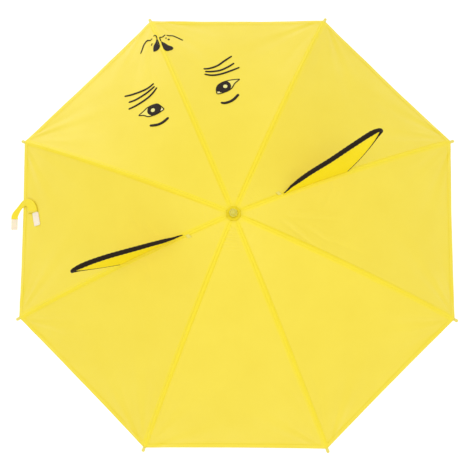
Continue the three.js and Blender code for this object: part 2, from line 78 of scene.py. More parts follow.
EAR_RIBS = {"ear_left": 3, "ear_right": 7}
EAR_INNER_RADIUS, EAR_OUTER_RADIUS = 77, 177
EAR_LEAN = {"ear_left": 0.12, "ear_right": 0.3}
EAR_CREST = [(1, 3), (38, 36), (90, 67), (144, 80)]
EAR_SIDE = [(106.5, 1), (120, 24), (136, 54), (144, 80)]
# How far the crest bends out of the ear's plane: along the seam, and away from the face.
EAR_AWAY = {"ear_left": -1, "ear_right": 1}  # which way along the ear's normal is away from the face
EAR_BEND = {
    "ear_left": [(0, 0.8), (30, 1.9), (60, 1.5), (100, 0), (125, -0.6), (150, 1.0)],
    "ear_right": [(0, -1.8), (35, -1.0), (66, 0), (100, -2.2), (129, -6.0), (150, -5.6)],
}

STRAP_PANEL = 2
STRAP_SHARE = 0.32


def rib_angle(number):
    """The direction of a rib in plan; rib 1 points at -Y."""
    return -PI / 2 + (number - 1) * RIB_STEP


def canopy_height(radius):
    share = radius / TIP_RADIUS
    return CROWN_HEIGHT - DOME_DROP * (CROWN_SLOPE * share + (1 - CROWN_SLOPE) * share**2)


def panel_width(radius):
    """The distance between a panel's two seams at this radius."""
    return 2 * radius * math.sin(RIB_STEP / 2)


def panel_sag(across, radius):
    """How far a panel hangs below the line between its ribs."""
    share = radius / HEM_RADIUS
    return PANEL_SAG * np.sin(np.clip(PI * SAG_SPAN * share, 0, PI)) ** 1.6 * 4 * across * (1 - across)


def smooth(low, high, value):
    """0 below low, 1 above high, with a smooth rise between."""
    t = np.clip((value - low) / (high - low), 0, 1)
    return t * t * (3 - 2 * t)


def wrinkles(number, across, radius):
    """How far a panel's cloth stands off its smooth shape: folds that run from the rib tips, a wavy hem,
    broad waves, and ripples near the crown of the panel opposite the face."""
    window = np.sqrt(np.clip(4 * across * (1 - across), 0, 1))
    width = panel_width(radius)
    out = HEM_RADIUS - radius
    rise = np.zeros(np.broadcast(across, radius).shape)
    for side, aside in ((0, across * width), (1, (1 - across) * width)):
        angle = np.arctan2(aside, out + 4)
        reach = np.hypot(aside, out)
        phase = 1.7 * number + 2.1 * side
        folds = np.sin(11 * angle + phase) + 0.6 * np.sin(19 * angle + 2.3 * phase)
        rise += 1.1 * folds * smooth(2, 22, aside) * smooth(3, 30, reach) * np.exp(-((reach / 85) ** 1.5))
    hem_wave = np.sin(2 * PI * (2.5 * across + 0.37 * number))
    hem_wave = hem_wave + 0.5 * np.sin(2 * PI * (6 * across + 0.2 * number))
    rise += 0.55 * hem_wave * window * np.exp(-out / 34)
    broad = (
        np.sin(radius / 43 + 1.3 * number + 2 * across)
        + np.sin((across - 0.5) * width / 31 + 0.8 * number)
        + np.sin(radius / 27 - (across - 0.5) * width / 38 + 2.1 * number)
    )
    rise += 0.35 * broad * window * smooth(30, 120, radius)
    ripple = 0.5 if number == 4 else 0.08
    narrow = smooth(16, 24, radius) * (1 - smooth(46, 62, radius))
    rise += ripple * np.sin(2 * PI * radius / 5.6 + 4 * (across - 0.5) ** 2) * window**2 * narrow
    return rise + creases(number, across, radius, width) * window


# Short creases: panel, both ends as (share across, radius), depth and half width.
CREASES = [
    (6, (0.40, 78), (0.14, 112), 1.4, 4.0),
    (6, (0.30, 84), (0.06, 132), 1.2, 3.5),
    (6, (0.34, 118), (0.20, 150), 1.2, 3.5),
    (6, (0.52, 90), (0.50, 168), 0.8, 5.0),
    (6, (0.24, 150), (0.20, 205), 0.9, 5.0),
    (6, (0.66, 138), (0.93, 158), 1.4, 5.0),
    (6, (0.74, 158), (0.95, 168), 1.2, 4.5),
    (2, (0.58, 146), (0.92, 118), 1.5, 6.0),
    (2, (0.50, 168), (0.80, 140), 1.0, 6.0),
    (3, (0.10, 150), (0.36, 170), 1.2, 6.0),
    (7, (0.10, 104), (0.40, 120), 0.9, 6.0),
]


def creases(number, across, radius, width):
    rise = np.zeros(np.broadcast(across, radius).shape)
    x, y = (across - 0.5) * width, radius
    for panel, start, end, depth, half in CREASES:
        if panel != number:
            continue
        (ax, ay), (bx, by) = (((share - 0.5) * 2 * r * math.sin(RIB_STEP / 2), r)
                              for share, r in (start, end))
        length = math.hypot(bx - ax, by - ay)
        along = ((x - ax) * (bx - ax) + (y - ay) * (by - ay)) / length
        aside = ((x - ax) * (by - ay) - (y - ay) * (bx - ax)) / length
        body = smooth(-0.25 * length, 0.3 * length, along) * (1 - smooth(0.7 * length, 1.25 * length, along))
        rise += depth * body * (aside / half) * np.exp(0.5 - (aside / half) ** 2)
    return rise


def middle_surface(number, across, radius, wrinkled=True):
    """A panel's cloth, halfway through it: points from across 0 at its own rib to 1 at the next."""
    across, radius = np.broadcast_arrays(np.asarray(across, float), np.asarray(radius, float))
    a, b, middle = rib_angle(number), rib_angle(number + 1), rib_angle(number + 0.5)
    share = radius / HEM_RADIUS
    sag = panel_sag(across, radius)
    pull = 0.35 * share * sag
    x = radius * ((1 - across) * math.cos(a) + across * math.cos(b)) - pull * math.cos(middle)
    y = radius * ((1 - across) * math.sin(a) + across * math.sin(b)) - pull * math.sin(middle)
    z = canopy_height(radius) - sag
    if wrinkled:
        z = z + wrinkles(number, across, radius)
    return np.stack([x, y, z], -1)


def surface(number, across, radius, height):
    """A point at this height above a panel's cloth, along the cloth's normal."""
    step = 0.6
    over = step / panel_width(np.maximum(radius, 8))
    tangents = (
        middle_surface(number, across, radius + step) - middle_surface(number, across, radius - step),
        middle_surface(number, across + over, radius) - middle_surface(number, across - over, radius),
    )
    normal = np.cross(*tangents)
    normal /= np.linalg.norm(normal, axis=-1, keepdims=True)
    return middle_surface(number, across, radius) + np.asarray(height)[..., None] * normal


# ---- The closed umbrella: every panel folds into a pleat, rolled round the ribs -------------

joints = {j["name"]: j for j in frame["joints"]}
couplings = {c["joint"]: c for c in frame["record"]["behaviour"]["couplings"]}
SLIDE = "runner_slide"
TRAVEL = joints[SLIDE]["range_m"][0]
PITCH = 11  # of the roll, in radius for a whole turn
FOLD_ANCHOR = -2.0  # height in metres that the soft pieces' squash is measured from
FOLD_KEEP = 0.5


def hinge(number):
    """A rib's hinge: its distance from the shaft, its height and its angle when closed."""
    joint = joints[f"rib_{number}_hinge"]
    x, y, z = joint["pos_m"]
    return math.hypot(x, y) / MM, z / MM, couplings[f"rib_{number}_hinge"]["ratio"] * TRAVEL


def closed_profile(number, radius):
    """Distance from the shaft and height of the cloth over a rib when the umbrella is closed."""
    at, level, angle = hinge(number)
    out, up = radius - at, canopy_height(radius) - level
    rho = at + out * math.cos(angle) + up * math.sin(angle)
    z = level - out * math.sin(angle) + up * math.cos(angle)
    free = smooth(HOLE_RADIUS, 15, radius)  # the cloth stays clamped at the crown
    return rho * free + radius * (1 - free), z * free + canopy_height(radius) * (1 - free)


def rolled(number, across, radius, height, path=None):
    """Where a point of a panel lies when closed. path is the distance from the panel's rib along
    its pleat, for pieces that are sewn to the rib and not to the panel."""
    rho, z = closed_profile(number, radius)
    growth = PITCH / (4 * PI)
    width = panel_width(radius)
    back = rho * RIB_STEP + growth * RIB_STEP**2
    turn = (-rho + np.sqrt(rho**2 + 2 * growth * (width + back))) / (2 * growth)
    turn = np.maximum(turn, RIB_STEP + 0.02)
    outer = rho * turn + growth * turn**2
    whole = 2 * outer - back
    at = across * whole if path is None else path
    going = at <= outer
    from_start = np.where(going, at, whole - at + back)
    angle = (-rho + np.sqrt(np.maximum(rho**2 + 4 * growth * from_start, 0))) / (2 * growth)
    layer = PITCH / RIBS / 2
    crest = smooth(-3, 3, at - outer)
    home = 1 - smooth(0, 0.5, angle - RIB_STEP)
    lift = 2 * growth * angle - crest * layer * (1 + home)
    r = rho + lift + height * (1 - 2 * crest)
    theta = rib_angle(number) + angle
    return np.stack([r * np.cos(theta), r * np.sin(theta), z + 0 * r], -1)


def unhinged(number, points):
    """Points of the closed umbrella, as they are on the rib's body before it swings."""
    at, level, angle = hinge(number)
    alpha = rib_angle(number)
    c, s = math.cos(alpha), math.sin(alpha)
    radial = points[..., 0] * c + points[..., 1] * s - at
    side = -points[..., 0] * s + points[..., 1] * c
    up = points[..., 2] - level
    out = at + radial * math.cos(angle) - up * math.sin(angle)
    z = level + radial * math.sin(angle) + up * math.cos(angle)
    return np.stack([out * c - side * s, out * s + side * c, z], -1)


def fold_nodes():
    """Moves each point from rest to its folded place, by the share of its full drop that it has already been moved
    down.
    """
    tree = bpy.data.node_groups.new("fold", "GeometryNodeTree")
    for way in ("INPUT", "OUTPUT"):
        tree.interface.new_socket("Geometry", in_out=way, socket_type="NodeSocketGeometry")
    new, link = tree.nodes.new, tree.links.new
    source, end = new("NodeGroupInput"), new("NodeGroupOutput")
    place, here = new("GeometryNodeSetPosition"), new("GeometryNodeInputPosition")
    stored = {}
    for name in ("rest", "folded"):
        stored[name] = new("GeometryNodeInputNamedAttribute")
        stored[name].data_type = "FLOAT_VECTOR"
        stored[name].inputs["Name"].default_value = name
    heights = []
    for output in (here.outputs[0], stored["rest"].outputs["Attribute"]):
        split = new("ShaderNodeSeparateXYZ")
        link(output, split.inputs[0])
        heights.append(split.outputs["Z"])

    def maths(kind, a, b):
        node = new("ShaderNodeMath")
        node.operation = kind
        for socket, value in zip(node.inputs, (a, b)):
            if isinstance(value, (int, float)):
                socket.default_value = value
            else:
                link(value, socket)
        return node.outputs[0]

    moved = maths("SUBTRACT", heights[1], heights[0])
    most = maths("MULTIPLY", maths("SUBTRACT", heights[1], FOLD_ANCHOR), 1 - FOLD_KEEP)
    share = maths("DIVIDE", moved, most)
    mix = new("ShaderNodeMix")
    mix.data_type = "VECTOR"
    link(share, mix.inputs[0])
    link(stored["rest"].outputs["Attribute"], mix.inputs[4])
    link(stored["folded"].outputs["Attribute"], mix.inputs[5])
    link(mix.outputs[1], place.inputs["Position"])
    link(source.outputs[0], place.inputs["Geometry"])
    link(place.outputs[0], end.inputs[0])
    return tree


FOLD = fold_nodes()

# ---- Materials ------------------------------------------------------------------------------


def srgb(r, g, b):
    """A colour from 0-255 values as the shader takes it."""
    linear = [c / 255 / 12.92 if c <= 10 else ((c / 255 + 0.055) / 1.055) ** 2.4 for c in (r, g, b)]
    return (*linear, 1)


class Mat:
    """A Principled material and the few node steps that all the materials here share."""

    def __init__(self, name, color, roughness, **shader):
        self.material = bpy.data.materials.new(name)
        self.material.use_nodes = True
        self.tree = self.material.node_tree
        self.shader = self.tree.nodes["Principled BSDF"]
        self.shader.inputs["Base Color"].default_value = color
        self.shader.inputs["Roughness"].default_value = roughness
        for key, value in shader.items():
            self.shader.inputs[key.replace("_", " ")].default_value = value
        self.bump_out = None

    def new(self, kind, **values):
        node = self.tree.nodes.new(kind)
        for key, value in values.items():
            if hasattr(node, key):
                setattr(node, key, value)
            else:
                node.inputs[key.replace("_", " ")].default_value = value
        return node

    def link(self, a, b):
        self.tree.links.new(a, b)

    def where(self, attribute=None):
        """The object's own coordinates in metres, or a stored vector in mm."""
        if attribute:
            node = self.new("ShaderNodeAttribute")
            node.attribute_name = attribute
            return node.outputs["Vector"]
        return self.new("ShaderNodeTexCoord").outputs["Object"]

    def noise(self, vector, scale, detail=3.0, roughness=0.55):
        node = self.new("ShaderNodeTexNoise", Scale=scale, Detail=detail, Roughness=roughness)
        self.link(vector, node.inputs["Vector"])
        return node.outputs["Fac"]

    def wave(self, vector, scale, direction="X", distortion=0.0):
        node = self.new("ShaderNodeTexWave", Scale=scale, Distortion=distortion)
        node.bands_direction = direction
        self.link(vector, node.inputs["Vector"])
        return node.outputs["Fac"]

    def spread(self, value, low, high, out_low=0.0, out_high=1.0):
        node = self.new("ShaderNodeMapRange")
        for socket, number in zip(node.inputs[1:5], (low, high, out_low, out_high)):
            socket.default_value = number
        self.link(value, node.inputs[0])
        return node.outputs[0]

    def tint(self, factor, other):
        """Mixes the base colour towards another by a factor."""
        mix = self.new("ShaderNodeMix", data_type="RGBA")
        base = self.shader.inputs["Base Color"]
        if base.is_linked:
            self.link(base.links[0].from_socket, mix.inputs[6])
        else:
            mix.inputs[6].default_value = base.default_value
        mix.inputs[7].default_value = other
        self.link(factor, mix.inputs[0])
        self.link(mix.outputs[2], base)
        return self

    def rough(self, value, low, high):
        self.link(self.spread(value, 0.3, 0.7, low, high), self.shader.inputs["Roughness"])
        return self

    def bump(self, value, depth, strength=1.0):
        """Adds relief of this depth in metres."""
        node = self.new("ShaderNodeBump", Strength=strength, Distance=depth)
        self.link(value, node.inputs["Height"])
        if self.bump_out:
            self.link(self.bump_out, node.inputs["Normal"])
        self.bump_out = node.outputs["Normal"]
        self.link(self.bump_out, self.shader.inputs["Normal"])
        return self


def woven(name, color, dark, thread, roughness=0.55, doubled=None, **shader):
    """Plain-weave cloth: threads both ways at this pitch in mm, slight slubs and uneven dye."""
    mat = Mat(name, color, roughness, **shader)
    cloth = mat.where("weave")
    scale = 2 * PI / (20 * thread)
    dye = mat.noise(cloth, 0.012, 4)
    mat.tint(mat.spread(dye, 0.35, 0.7, 0, 0.5), dark)
    slub = mat.new("ShaderNodeMapping", Scale=(0.9, 0.05, 1))
    mat.link(cloth, slub.inputs["Vector"])
    slubs = mat.noise(slub.outputs[0], 1.2, 2)
    mat.tint(mat.spread(slubs, 0.5, 0.8, 0, 0.16), dark)
    if doubled:
        layer = mat.new("ShaderNodeAttribute")
        layer.attribute_name = "double"
        mat.tint(layer.outputs["Fac"], doubled)
    for direction in "XY":
        mat.bump(mat.wave(cloth, scale, direction), 0.00005, 0.35)
    mat.rough(dye, roughness - 0.05, roughness + 0.08)
    return mat.material


def moulded(name, color, dark, roughness, **shader):
    """Moulded plastic: faint flow marks, a fine texture and handling scuffs."""
    mat = Mat(name, color, roughness, **shader)
    here = mat.where()
    mat.tint(mat.spread(mat.noise(here, 24, 3), 0.3, 0.8, 0, 0.5), dark)
    scuffs = mat.noise(here, 420, 5, 0.7)
    mat.bump(scuffs, 0.00006, 0.25)
    mat.rough(mat.noise(here, 60, 4), roughness - 0.05, roughness + 0.1)
    return mat.material


def metal(name, color, dark, roughness, grain):
    """Plated steel: drawn streaks along the length, fine scratches and dull spots."""
    mat = Mat(name, color, roughness, Metallic=1.0)
    here = mat.where()
    stretch = mat.new("ShaderNodeMapping", Scale=grain)
    mat.link(here, stretch.inputs["Vector"])
    streaks = mat.noise(stretch.outputs[0], 900, 3)
    mat.tint(mat.spread(mat.noise(here, 90, 4), 0.5, 0.8, 0, 0.5), dark)
    mat.rough(streaks, roughness - 0.07, roughness + 0.12)
    mat.bump(streaks, 0.00003, 0.2)
    return mat.material


YELLOW = srgb(238, 216, 58)
YELLOW_DARK = srgb(232, 208, 46)
YELLOW_DOUBLE = srgb(241, 219, 18)

cloth_yellow = woven("cloth_yellow", YELLOW, YELLOW_DARK, 0.32, 0.42, YELLOW_DOUBLE,
                     Sheen_Weight=0.1, Sheen_Roughness=0.4)
cloth_double = woven("cloth_double", YELLOW_DOUBLE, srgb(235, 211, 14), 0.32, 0.5,
                     Sheen_Weight=0.1, Sheen_Roughness=0.4)
cloth_ear = woven("cloth_ear", srgb(244, 220, 10), srgb(238, 212, 4), 0.32, 0.6,
                  Specular_IOR_Level=0.2)
tape_black = woven("tape_black", srgb(34, 22, 2), srgb(22, 14, 1), 0.6, 0.8,
                   Specular_IOR_Level=0.2, Sheen_Weight=0.1, Sheen_Roughness=0.5)
ink_dark = woven("ink_dark", srgb(38, 27, 18), srgb(28, 19, 12), 0.32, 0.6, Specular_IOR_Level=0.2)
ink_pale = woven("ink_pale", srgb(236, 222, 96), srgb(232, 217, 86), 0.32, 0.5)
ink_glint = woven("ink_glint", srgb(232, 226, 140), srgb(226, 219, 126), 0.32, 0.5)
ink_white = woven("ink_white", srgb(240, 226, 180), srgb(234, 218, 166), 0.32, 0.5)
thread_yellow = woven("thread_yellow", srgb(240, 216, 24), srgb(228, 202, 18), 0.15, 0.5)
plastic_yellow = moulded("plastic_yellow", srgb(238, 206, 28), srgb(233, 198, 22), 0.28, Coat_Weight=0.15)
plastic_white = moulded("plastic_white", srgb(232, 229, 216), srgb(224, 220, 204), 0.35)
plastic_clear = moulded("plastic_clear", srgb(226, 212, 66), srgb(206, 190, 44), 0.12, IOR=1.46,
                        Transmission_Weight=0.2, Coat_Weight=0.6)
plastic_tip = moulded("plastic_tip", srgb(230, 214, 96), srgb(220, 202, 78), 0.3, Coat_Weight=0.2)
steel = metal("steel", srgb(206, 208, 212), srgb(170, 172, 176), 0.26, (1, 1, 0.05))
steel_wire = metal("steel_wire", srgb(214, 213, 208), srgb(180, 178, 172), 0.2, (1, 1, 1))


def hook_and_loop():
    """Off-white hook-and-loop tape: rows of fine hooks on a milky woven base."""
    mat = Mat("tape_hook_and_loop", srgb(246, 236, 214), 0.6, Sheen_Weight=0.4, Sheen_Roughness=0.5,
              Subsurface_Weight=0.2, Subsurface_Scale=0.001)
    here = mat.where("weave")
    hooks = mat.new("ShaderNodeTexVoronoi", Scale=1.4)
    mat.link(here, hooks.inputs["Vector"])
    mat.tint(mat.spread(hooks.outputs["Distance"], 0.1, 0.7, 0, 0.6), srgb(228, 214, 184))
    mat.bump(hooks.outputs["Distance"], 0.0003, 0.6)
    mat.rough(mat.noise(here, 0.5, 3), 0.5, 0.7)
    return mat.material


tape_tab = hook_and_loop()

# ---- Building pieces ------------------------------------------------------------------------


def shell_faces(rows, columns):
    """Faces of a closed shell whose outer grid of points is followed by its inner grid."""
    count = rows * columns
    faces = []
    for i in range(rows - 1):
        for j in range(columns - 1):
            first, second = i * columns + j, (i + 1) * columns + j
            quad = (first, second, second + 1, first + 1)
            faces.append(quad)
            faces.append(tuple(count + q for q in reversed(quad)))
    edge = list(range(columns - 1))
    edge += [i * columns + columns - 1 for i in range(rows - 1)]
    edge += [(rows - 1) * columns + j for j in range(columns - 1, 0, -1)]
    edge += [i * columns for i in range(rows - 1, 0, -1)]
    for n, m in zip(edge, edge[1:] + edge[:1]):
        faces.append((n, m, m + count, n + count))
    return faces


def outward(points, faces):
    """The faces of a closed mesh, turned so that they all look outwards."""
    points = np.reshape(points, (-1, 3))
    corners = np.array([(f[0], f[i], f[i + 1]) for f in faces for i in range(1, len(f) - 1)])
    a, b, c = (points[corners[:, i]] - points[0] for i in range(3))
    inside_out = np.einsum("ij,ij->", a, np.cross(b, c)) < 0
    return [tuple(reversed(f)) for f in faces] if inside_out else faces


def make_object(name, points, faces, material):
    """A smooth-shaded mesh object from points in mm."""
    mesh = bpy.data.meshes.new(name)
    faces = outward(points, faces)
    mesh.from_pydata([tuple(p) for p in np.reshape(points, (-1, 3)) * MM], [], faces)
    mesh.materials.append(material)
    mesh.polygons.foreach_set("use_smooth", [True] * len(mesh.polygons))
    obj = bpy.data.objects.new(name, mesh)
    bpy.context.scene.collection.objects.link(obj)
    return obj


def store(obj, name, kind, values):
    attribute = obj.data.attributes.new(name, kind, "POINT")
    attribute.data.foreach_set("value" if kind == "FLOAT" else "vector", np.ravel(values).astype(np.float32))


def soft_piece(name, number, points, folded, faces, material, weave, double=None):
    """A soft piece on a rib's body that folds into its rolled place as the umbrella closes."""
    obj = make_object(name, points, faces, material)
    store(obj, "weave", "FLOAT_VECTOR", np.reshape(weave, (-1, 3)))
    if double is not None:
        store(obj, "double", "FLOAT", double)
    rest = np.zeros(len(obj.data.vertices) * 3, np.float32)
    obj.data.vertices.foreach_get("co", rest)
    store(obj, "rest", "FLOAT_VECTOR", rest)
    store(obj, "folded", "FLOAT_VECTOR", unhinged(number, np.reshape(folded, (-1, 3))) * MM)
    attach(obj, f"rib_{number}")
    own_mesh(obj)
    obj.modifiers.new("fold", "NODES").node_group = FOLD
    return obj


def sheet_piece(name, number, across, radius, low, high, material, double=None):
    """A closed thin layer over a panel, between two heights above its middle surface."""
    across, radius = np.broadcast_arrays(across, radius)
    low, high = np.broadcast_to(low, across.shape), np.broadcast_to(high, across.shape)
    points = np.concatenate([surface(number, across, radius, h).reshape(-1, 3) for h in (high, low)])
    folded = np.concatenate([rolled(number, across, radius, h).reshape(-1, 3) for h in (high, low)])
    aside = (across - 0.5) * 2 * radius * math.sin(RIB_STEP / 2)
    weave = np.stack([aside, radius + 0 * aside, 0 * aside], -1).reshape(-1, 3)
    faces = shell_faces(*across.shape)
    double = None if double is None else np.concatenate([np.ravel(double)] * 2)
    weave = np.concatenate([weave] * 2)
    return soft_piece(name, number, points, folded, faces, material, weave, double)


def panel_place(number, x, y):
    """The share across a panel and the radius of a point given in plan, in mm."""
    middle = rib_angle(number + 0.5)
    along = x * math.cos(middle) + y * math.sin(middle)
    aside = -x * math.sin(middle) + y * math.cos(middle)
    radius, across = along / math.cos(RIB_STEP / 2), 0.5
    for _ in range(4):
        across = 0.5 + aside / panel_width(radius)
        share = radius / HEM_RADIUS
        radius = (along + 0.35 * share * panel_sag(across, radius)) / math.cos(RIB_STEP / 2)
    return across, radius


def curve_through(points, count):
    """Evenly spaced points of a smooth curve through these, and where each is from 0 to 1."""
    points = np.asarray(points, float)
    ends = [2 * points[0] - points[1], 2 * points[-1] - points[-2]]
    knots = np.concatenate([[ends[0]], points, [ends[1]]])
    fine = []
    for a, b, c, d in zip(knots, knots[1:], knots[2:], knots[3:]):
        t = np.linspace(0, 1, 24, endpoint=False)[:, None]
        fine.append(0.5 * (2 * b + (c - a) * t + (2 * a - 5 * b + 4 * c - d) * t**2
                           + (3 * b - a - 3 * c + d) * t**3))
    fine = np.concatenate([*fine, points[-1:]])
    gone = np.concatenate([[0], np.cumsum(np.linalg.norm(np.diff(fine, axis=0), axis=1))])
    share = np.linspace(0, 1, count)
    line = np.stack([np.interp(share * gone[-1], gone, fine[:, i]) for i in range(fine.shape[1])], -1)
    return line, share, gone[-1]


def heading(line):
    """The direction of a line at each of its points."""
    run = np.gradient(line, axis=0)
    return run / np.linalg.norm(run, axis=1, keepdims=True)


# ---- Canopy ---------------------------------------------------------------------------------

CLOTH = 0.15  # half of the cloth's drawn thickness
HEM_WIDTH = 8
ROWS, COLUMNS = 138, 56
CROWN_ROWS, MIDDLE_ROWS = 56, 58  # the rest of the rows are at the hem
CROWN_END, HEM_START = 64, 330


def panel_radii():
    """Rows of a panel: closer near the crown's ripples and at the hem."""
    return np.concatenate([
        np.linspace(HOLE_RADIUS, CROWN_END, CROWN_ROWS, endpoint=False),
        np.linspace(CROWN_END, HEM_START, MIDDLE_ROWS, endpoint=False),
        np.linspace(HEM_START, HEM_RADIUS, ROWS - CROWN_ROWS - MIDDLE_ROWS),
    ])[:, None]


# The felled seam's height above the cloth, by the distance from the rib's line; it leans to one side.
SEAM_AT = [-2.4, -1.7, -0.9, 0.0, 1.0, 2.2, 3.4, 4.3, 4.9]
SEAM_HIGH = [0.0, 0.26, 0.44, 0.50, 0.46, 0.40, 0.36, 0.30, 0.0]


def seam_height(across, radius):
    """How much higher a panel's cloth is where a seam lies on it, at either side."""
    width = panel_width(radius)
    own = np.interp(across * width / seam_taper(radius), SEAM_AT, SEAM_HIGH)
    other = np.interp((across - 1) * width / seam_taper(radius), SEAM_AT, SEAM_HIGH)
    return np.maximum(own, other)


def seam_taper(radius):
    """The seams draw in as they come near the crown."""
    return 0.62 + 0.38 * smooth(15, 130, radius)


def make_seam(number):
    """The seam over a rib, across the edges of the two panels that it joins."""
    before = (number - 2) % RIBS + 1
    radius = np.linspace(9, HEM_RADIUS - 0.4, 120)[:, None]
    width = panel_width(radius)
    taper = seam_taper(radius)
    grow = smooth(8, 20, radius)
    points, folded, weave = [], [], []
    for top in (True, False):
        rest_columns, folded_columns, weave_columns = [], [], []
        for at, high in zip(SEAM_AT, SEAM_HIGH):
            panel = before if at < 0 else number
            across = at * taper / width if at >= 0 else 1 + at * taper / width
            lift = CLOTH + (0.06 + high * grow if top else 0.01 + 0 * radius)
            rest_columns.append(surface(panel, across, radius, lift))
            folded_columns.append(rolled(panel, across, radius, lift))
            weave_columns.append(np.stack([at + 0 * radius, radius, 0 * radius], -1))
        points.append(np.concatenate(rest_columns, 1).reshape(-1, 3))
        folded.append(np.concatenate(folded_columns, 1).reshape(-1, 3))
        weave.append(np.concatenate(weave_columns, 1).reshape(-1, 3))
    return soft_piece(f"seam_{number}", number, np.concatenate(points), np.concatenate(folded),
                      shell_faces(len(radius), len(SEAM_AT)), cloth_double, np.concatenate(weave))


def make_panel(number):
    radius = panel_radii()
    width = panel_width(radius)
    edge = SEAM_CLEARANCE / width
    spaced = 0.5 - 0.5 * np.cos(PI * np.linspace(0, 1, COLUMNS))
    spaced = 0.35 * spaced + 0.65 * np.linspace(0, 1, COLUMNS)
    across = edge + (1 - 2 * edge) * spaced[None, :]
    radius = radius + 0 * across
    aside = np.minimum(across, 1 - across) * width
    hem = smooth(HEM_RADIUS - HEM_WIDTH - 0.6, HEM_RADIUS - HEM_WIDTH + 0.6, radius)
    seam = 1 - smooth(3.6, 6.2, aside)
    crown = 1 - smooth(12, 25, radius)
    double = np.maximum.reduce([0.45 * hem, 0.8 * seam, 0.75 * crown])
    high = CLOTH + 0.22 * hem
    panel = sheet_piece(f"panel_{number}", number, across, radius, -CLOTH, high, cloth_yellow, double=double)
    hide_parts(f"canopy_panel_{number}")
    return panel


def stitches(name, number, line, height, length, pitch, thick, material):
    """A row of stitches along line, which gives across and radius for a distance from 0 to 1."""
    points, folded, faces, weave = [], [], [], []
    dense = np.linspace(0, 1, 400)
    course = np.stack(line(dense), -1)
    path = surface(number, course[:, 0], course[:, 1], 0)
    gone = np.concatenate([[0], np.cumsum(np.linalg.norm(np.diff(path, axis=0), axis=1))])
    total = gone[-1]
    for n in range(int(total / pitch)):
        centre = (n + 0.5) * pitch
        spots = np.interp(centre + np.array([-0.5, -0.3, 0.3, 0.5]) * length, gone, dense)
        across, radius = line(spots)
        lift = height + thick * np.array([0.1, 0.8, 0.8, 0.1])
        ring = []
        for side, rise in ((-0.5, -0.25), (-0.32, 0.5), (0.32, 0.5), (0.5, -0.25)):
            ring.append((side * thick, rise * thick))
        start = sum(len(p) for p in points)
        block, block_folded = [], []
        towards = surface(number, across[2:3], radius[2:3], 0) - surface(number, across[1:2], radius[1:2], 0)
        for side, rise in ring:
            base = surface(number, across, radius, lift + rise)
            normal = surface(number, across, radius, 1) - surface(number, across, radius, 0)
            aside = np.cross(normal, towards / np.linalg.norm(towards))
            block.append(base + side * aside)
            block_folded.append(rolled(number, across, radius, lift + rise))
        block = np.stack(block, 1)
        points.append(block.reshape(-1, 3))
        folded.append(np.stack(block_folded, 1).reshape(-1, 3))
        weave.append(block.reshape(-1, 3))
        for i in range(3):
            for j in range(4):
                k = (j + 1) % 4
                faces.append(tuple(start + q for q in (4 * i + j, 4 * i + k, 4 * i + 4 + k, 4 * i + 4 + j)))
        faces.append(tuple(start + q for q in (3, 2, 1, 0)))
        faces.append(tuple(start + q for q in (12, 13, 14, 15)))
    return soft_piece(name, number, np.concatenate(points), np.concatenate(folded), faces, material,
                      np.concatenate(weave))


def make_trim(number):
    """The hem's stitching, and the felled seam over the panel's own rib."""
    margin = 4 / panel_width(HEM_RADIUS)
    hem = stitches(f"hem_stitching_{number}", number,
                   lambda t: (margin + (1 - 2 * margin) * t, HEM_RADIUS - 6.4 + 0 * t),
                   CLOTH + 0.22, 2.5, 3.6, 0.34, thread_yellow)
    seam = make_seam(number)
    tack = stitches(f"seam_stitching_{number}", number,
                    lambda t: (3.2 / panel_width(24 + (HEM_RADIUS - 30) * t),
                               24 + (HEM_RADIUS - 30) * t),
                    CLOTH + 0.46, 2.4, 3.7, 0.26, thread_yellow)
    return [hem, seam, tack]


# ---- Printed face ---------------------------------------------------------------------------
# Places are in plan: x across the face and y out from the crown, in mm.

LINE, MEDIUM, BOLD = 0.85, 1.6, 2.15  # half widths of the print's strokes
PALE_LAYER, INK_LAYER, GLINT_LAYER = (0.40, 0.46), (0.47, 0.54), (0.55, 0.61)
STROKE_STEP = 1.1  # along a stroke between its rows


def brush(name, number, points, half, layer=INK_LAYER, material=None, round_ends=True):
    """A printed stroke: a line through points, as wide as half says at each of its own steps."""
    count = max(8, int(curve_through(points, 2)[2] / STROKE_STEP))
    line, share, length = curve_through(points, count)
    half = np.interp(share, np.linspace(0, 1, len(np.atleast_1d(half))), np.atleast_1d(half))
    if round_ends:
        end = np.minimum(share, 1 - share) * length
        half = np.where(end < half, np.sqrt(np.maximum(half**2 - (half - end) ** 2, 0.02)), half)
    run = heading(line)
    aside = np.stack([run[:, 1], -run[:, 0]], -1)
    columns = max(3, 2 + int(half.max() / 1.2))
    span = np.linspace(-1, 1, columns)[None, :, None]
    spots = line[:, None, :] + span * (half[:, None] * aside)[:, None, :]
    return printed(name, number, spots, layer, material)


def printed(name, number, spots, layer, material=None):
    """A printed layer over a grid of places in plan. It follows the seams that it crosses."""
    across, radius = panel_place(number, spots[..., 0], spots[..., 1])
    over = seam_height(across, radius)
    return sheet_piece(name, number, across, radius, layer[0] + over, layer[1] + over, material or ink_dark)


def disc(name, number, centre, size, layer, material):
    """A printed ellipse."""
    span = np.linspace(-1, 1, 15) * 0.995
    half = size[1] * np.sqrt(1 - span**2)
    points = [(centre[0] + size[0] * t, centre[1]) for t in span]
    return brush(name, number, points, half, layer, material, round_ends=False)


def patch(name, number, side, other, layer=INK_LAYER, material=None):
    """A printed area between two edges that meet at both ends."""
    count = max(12, int(curve_through(side, 2)[2] / 1.2))
    a, b = (curve_through(edge, count)[0] for edge in (side, other))
    a, b = a[:, None, :], b[:, None, :]
    ends = np.sin(np.linspace(0.06, PI - 0.06, count))[:, None, None] < 0.07
    middle, spread = (a + b) / 2, (b - a) / 2
    spread = np.where(ends, np.array([0.06, 0.06]), spread)
    share = np.linspace(-1, 1, 9)[None, :, None]
    return printed(name, number, middle + share * spread, layer, material)


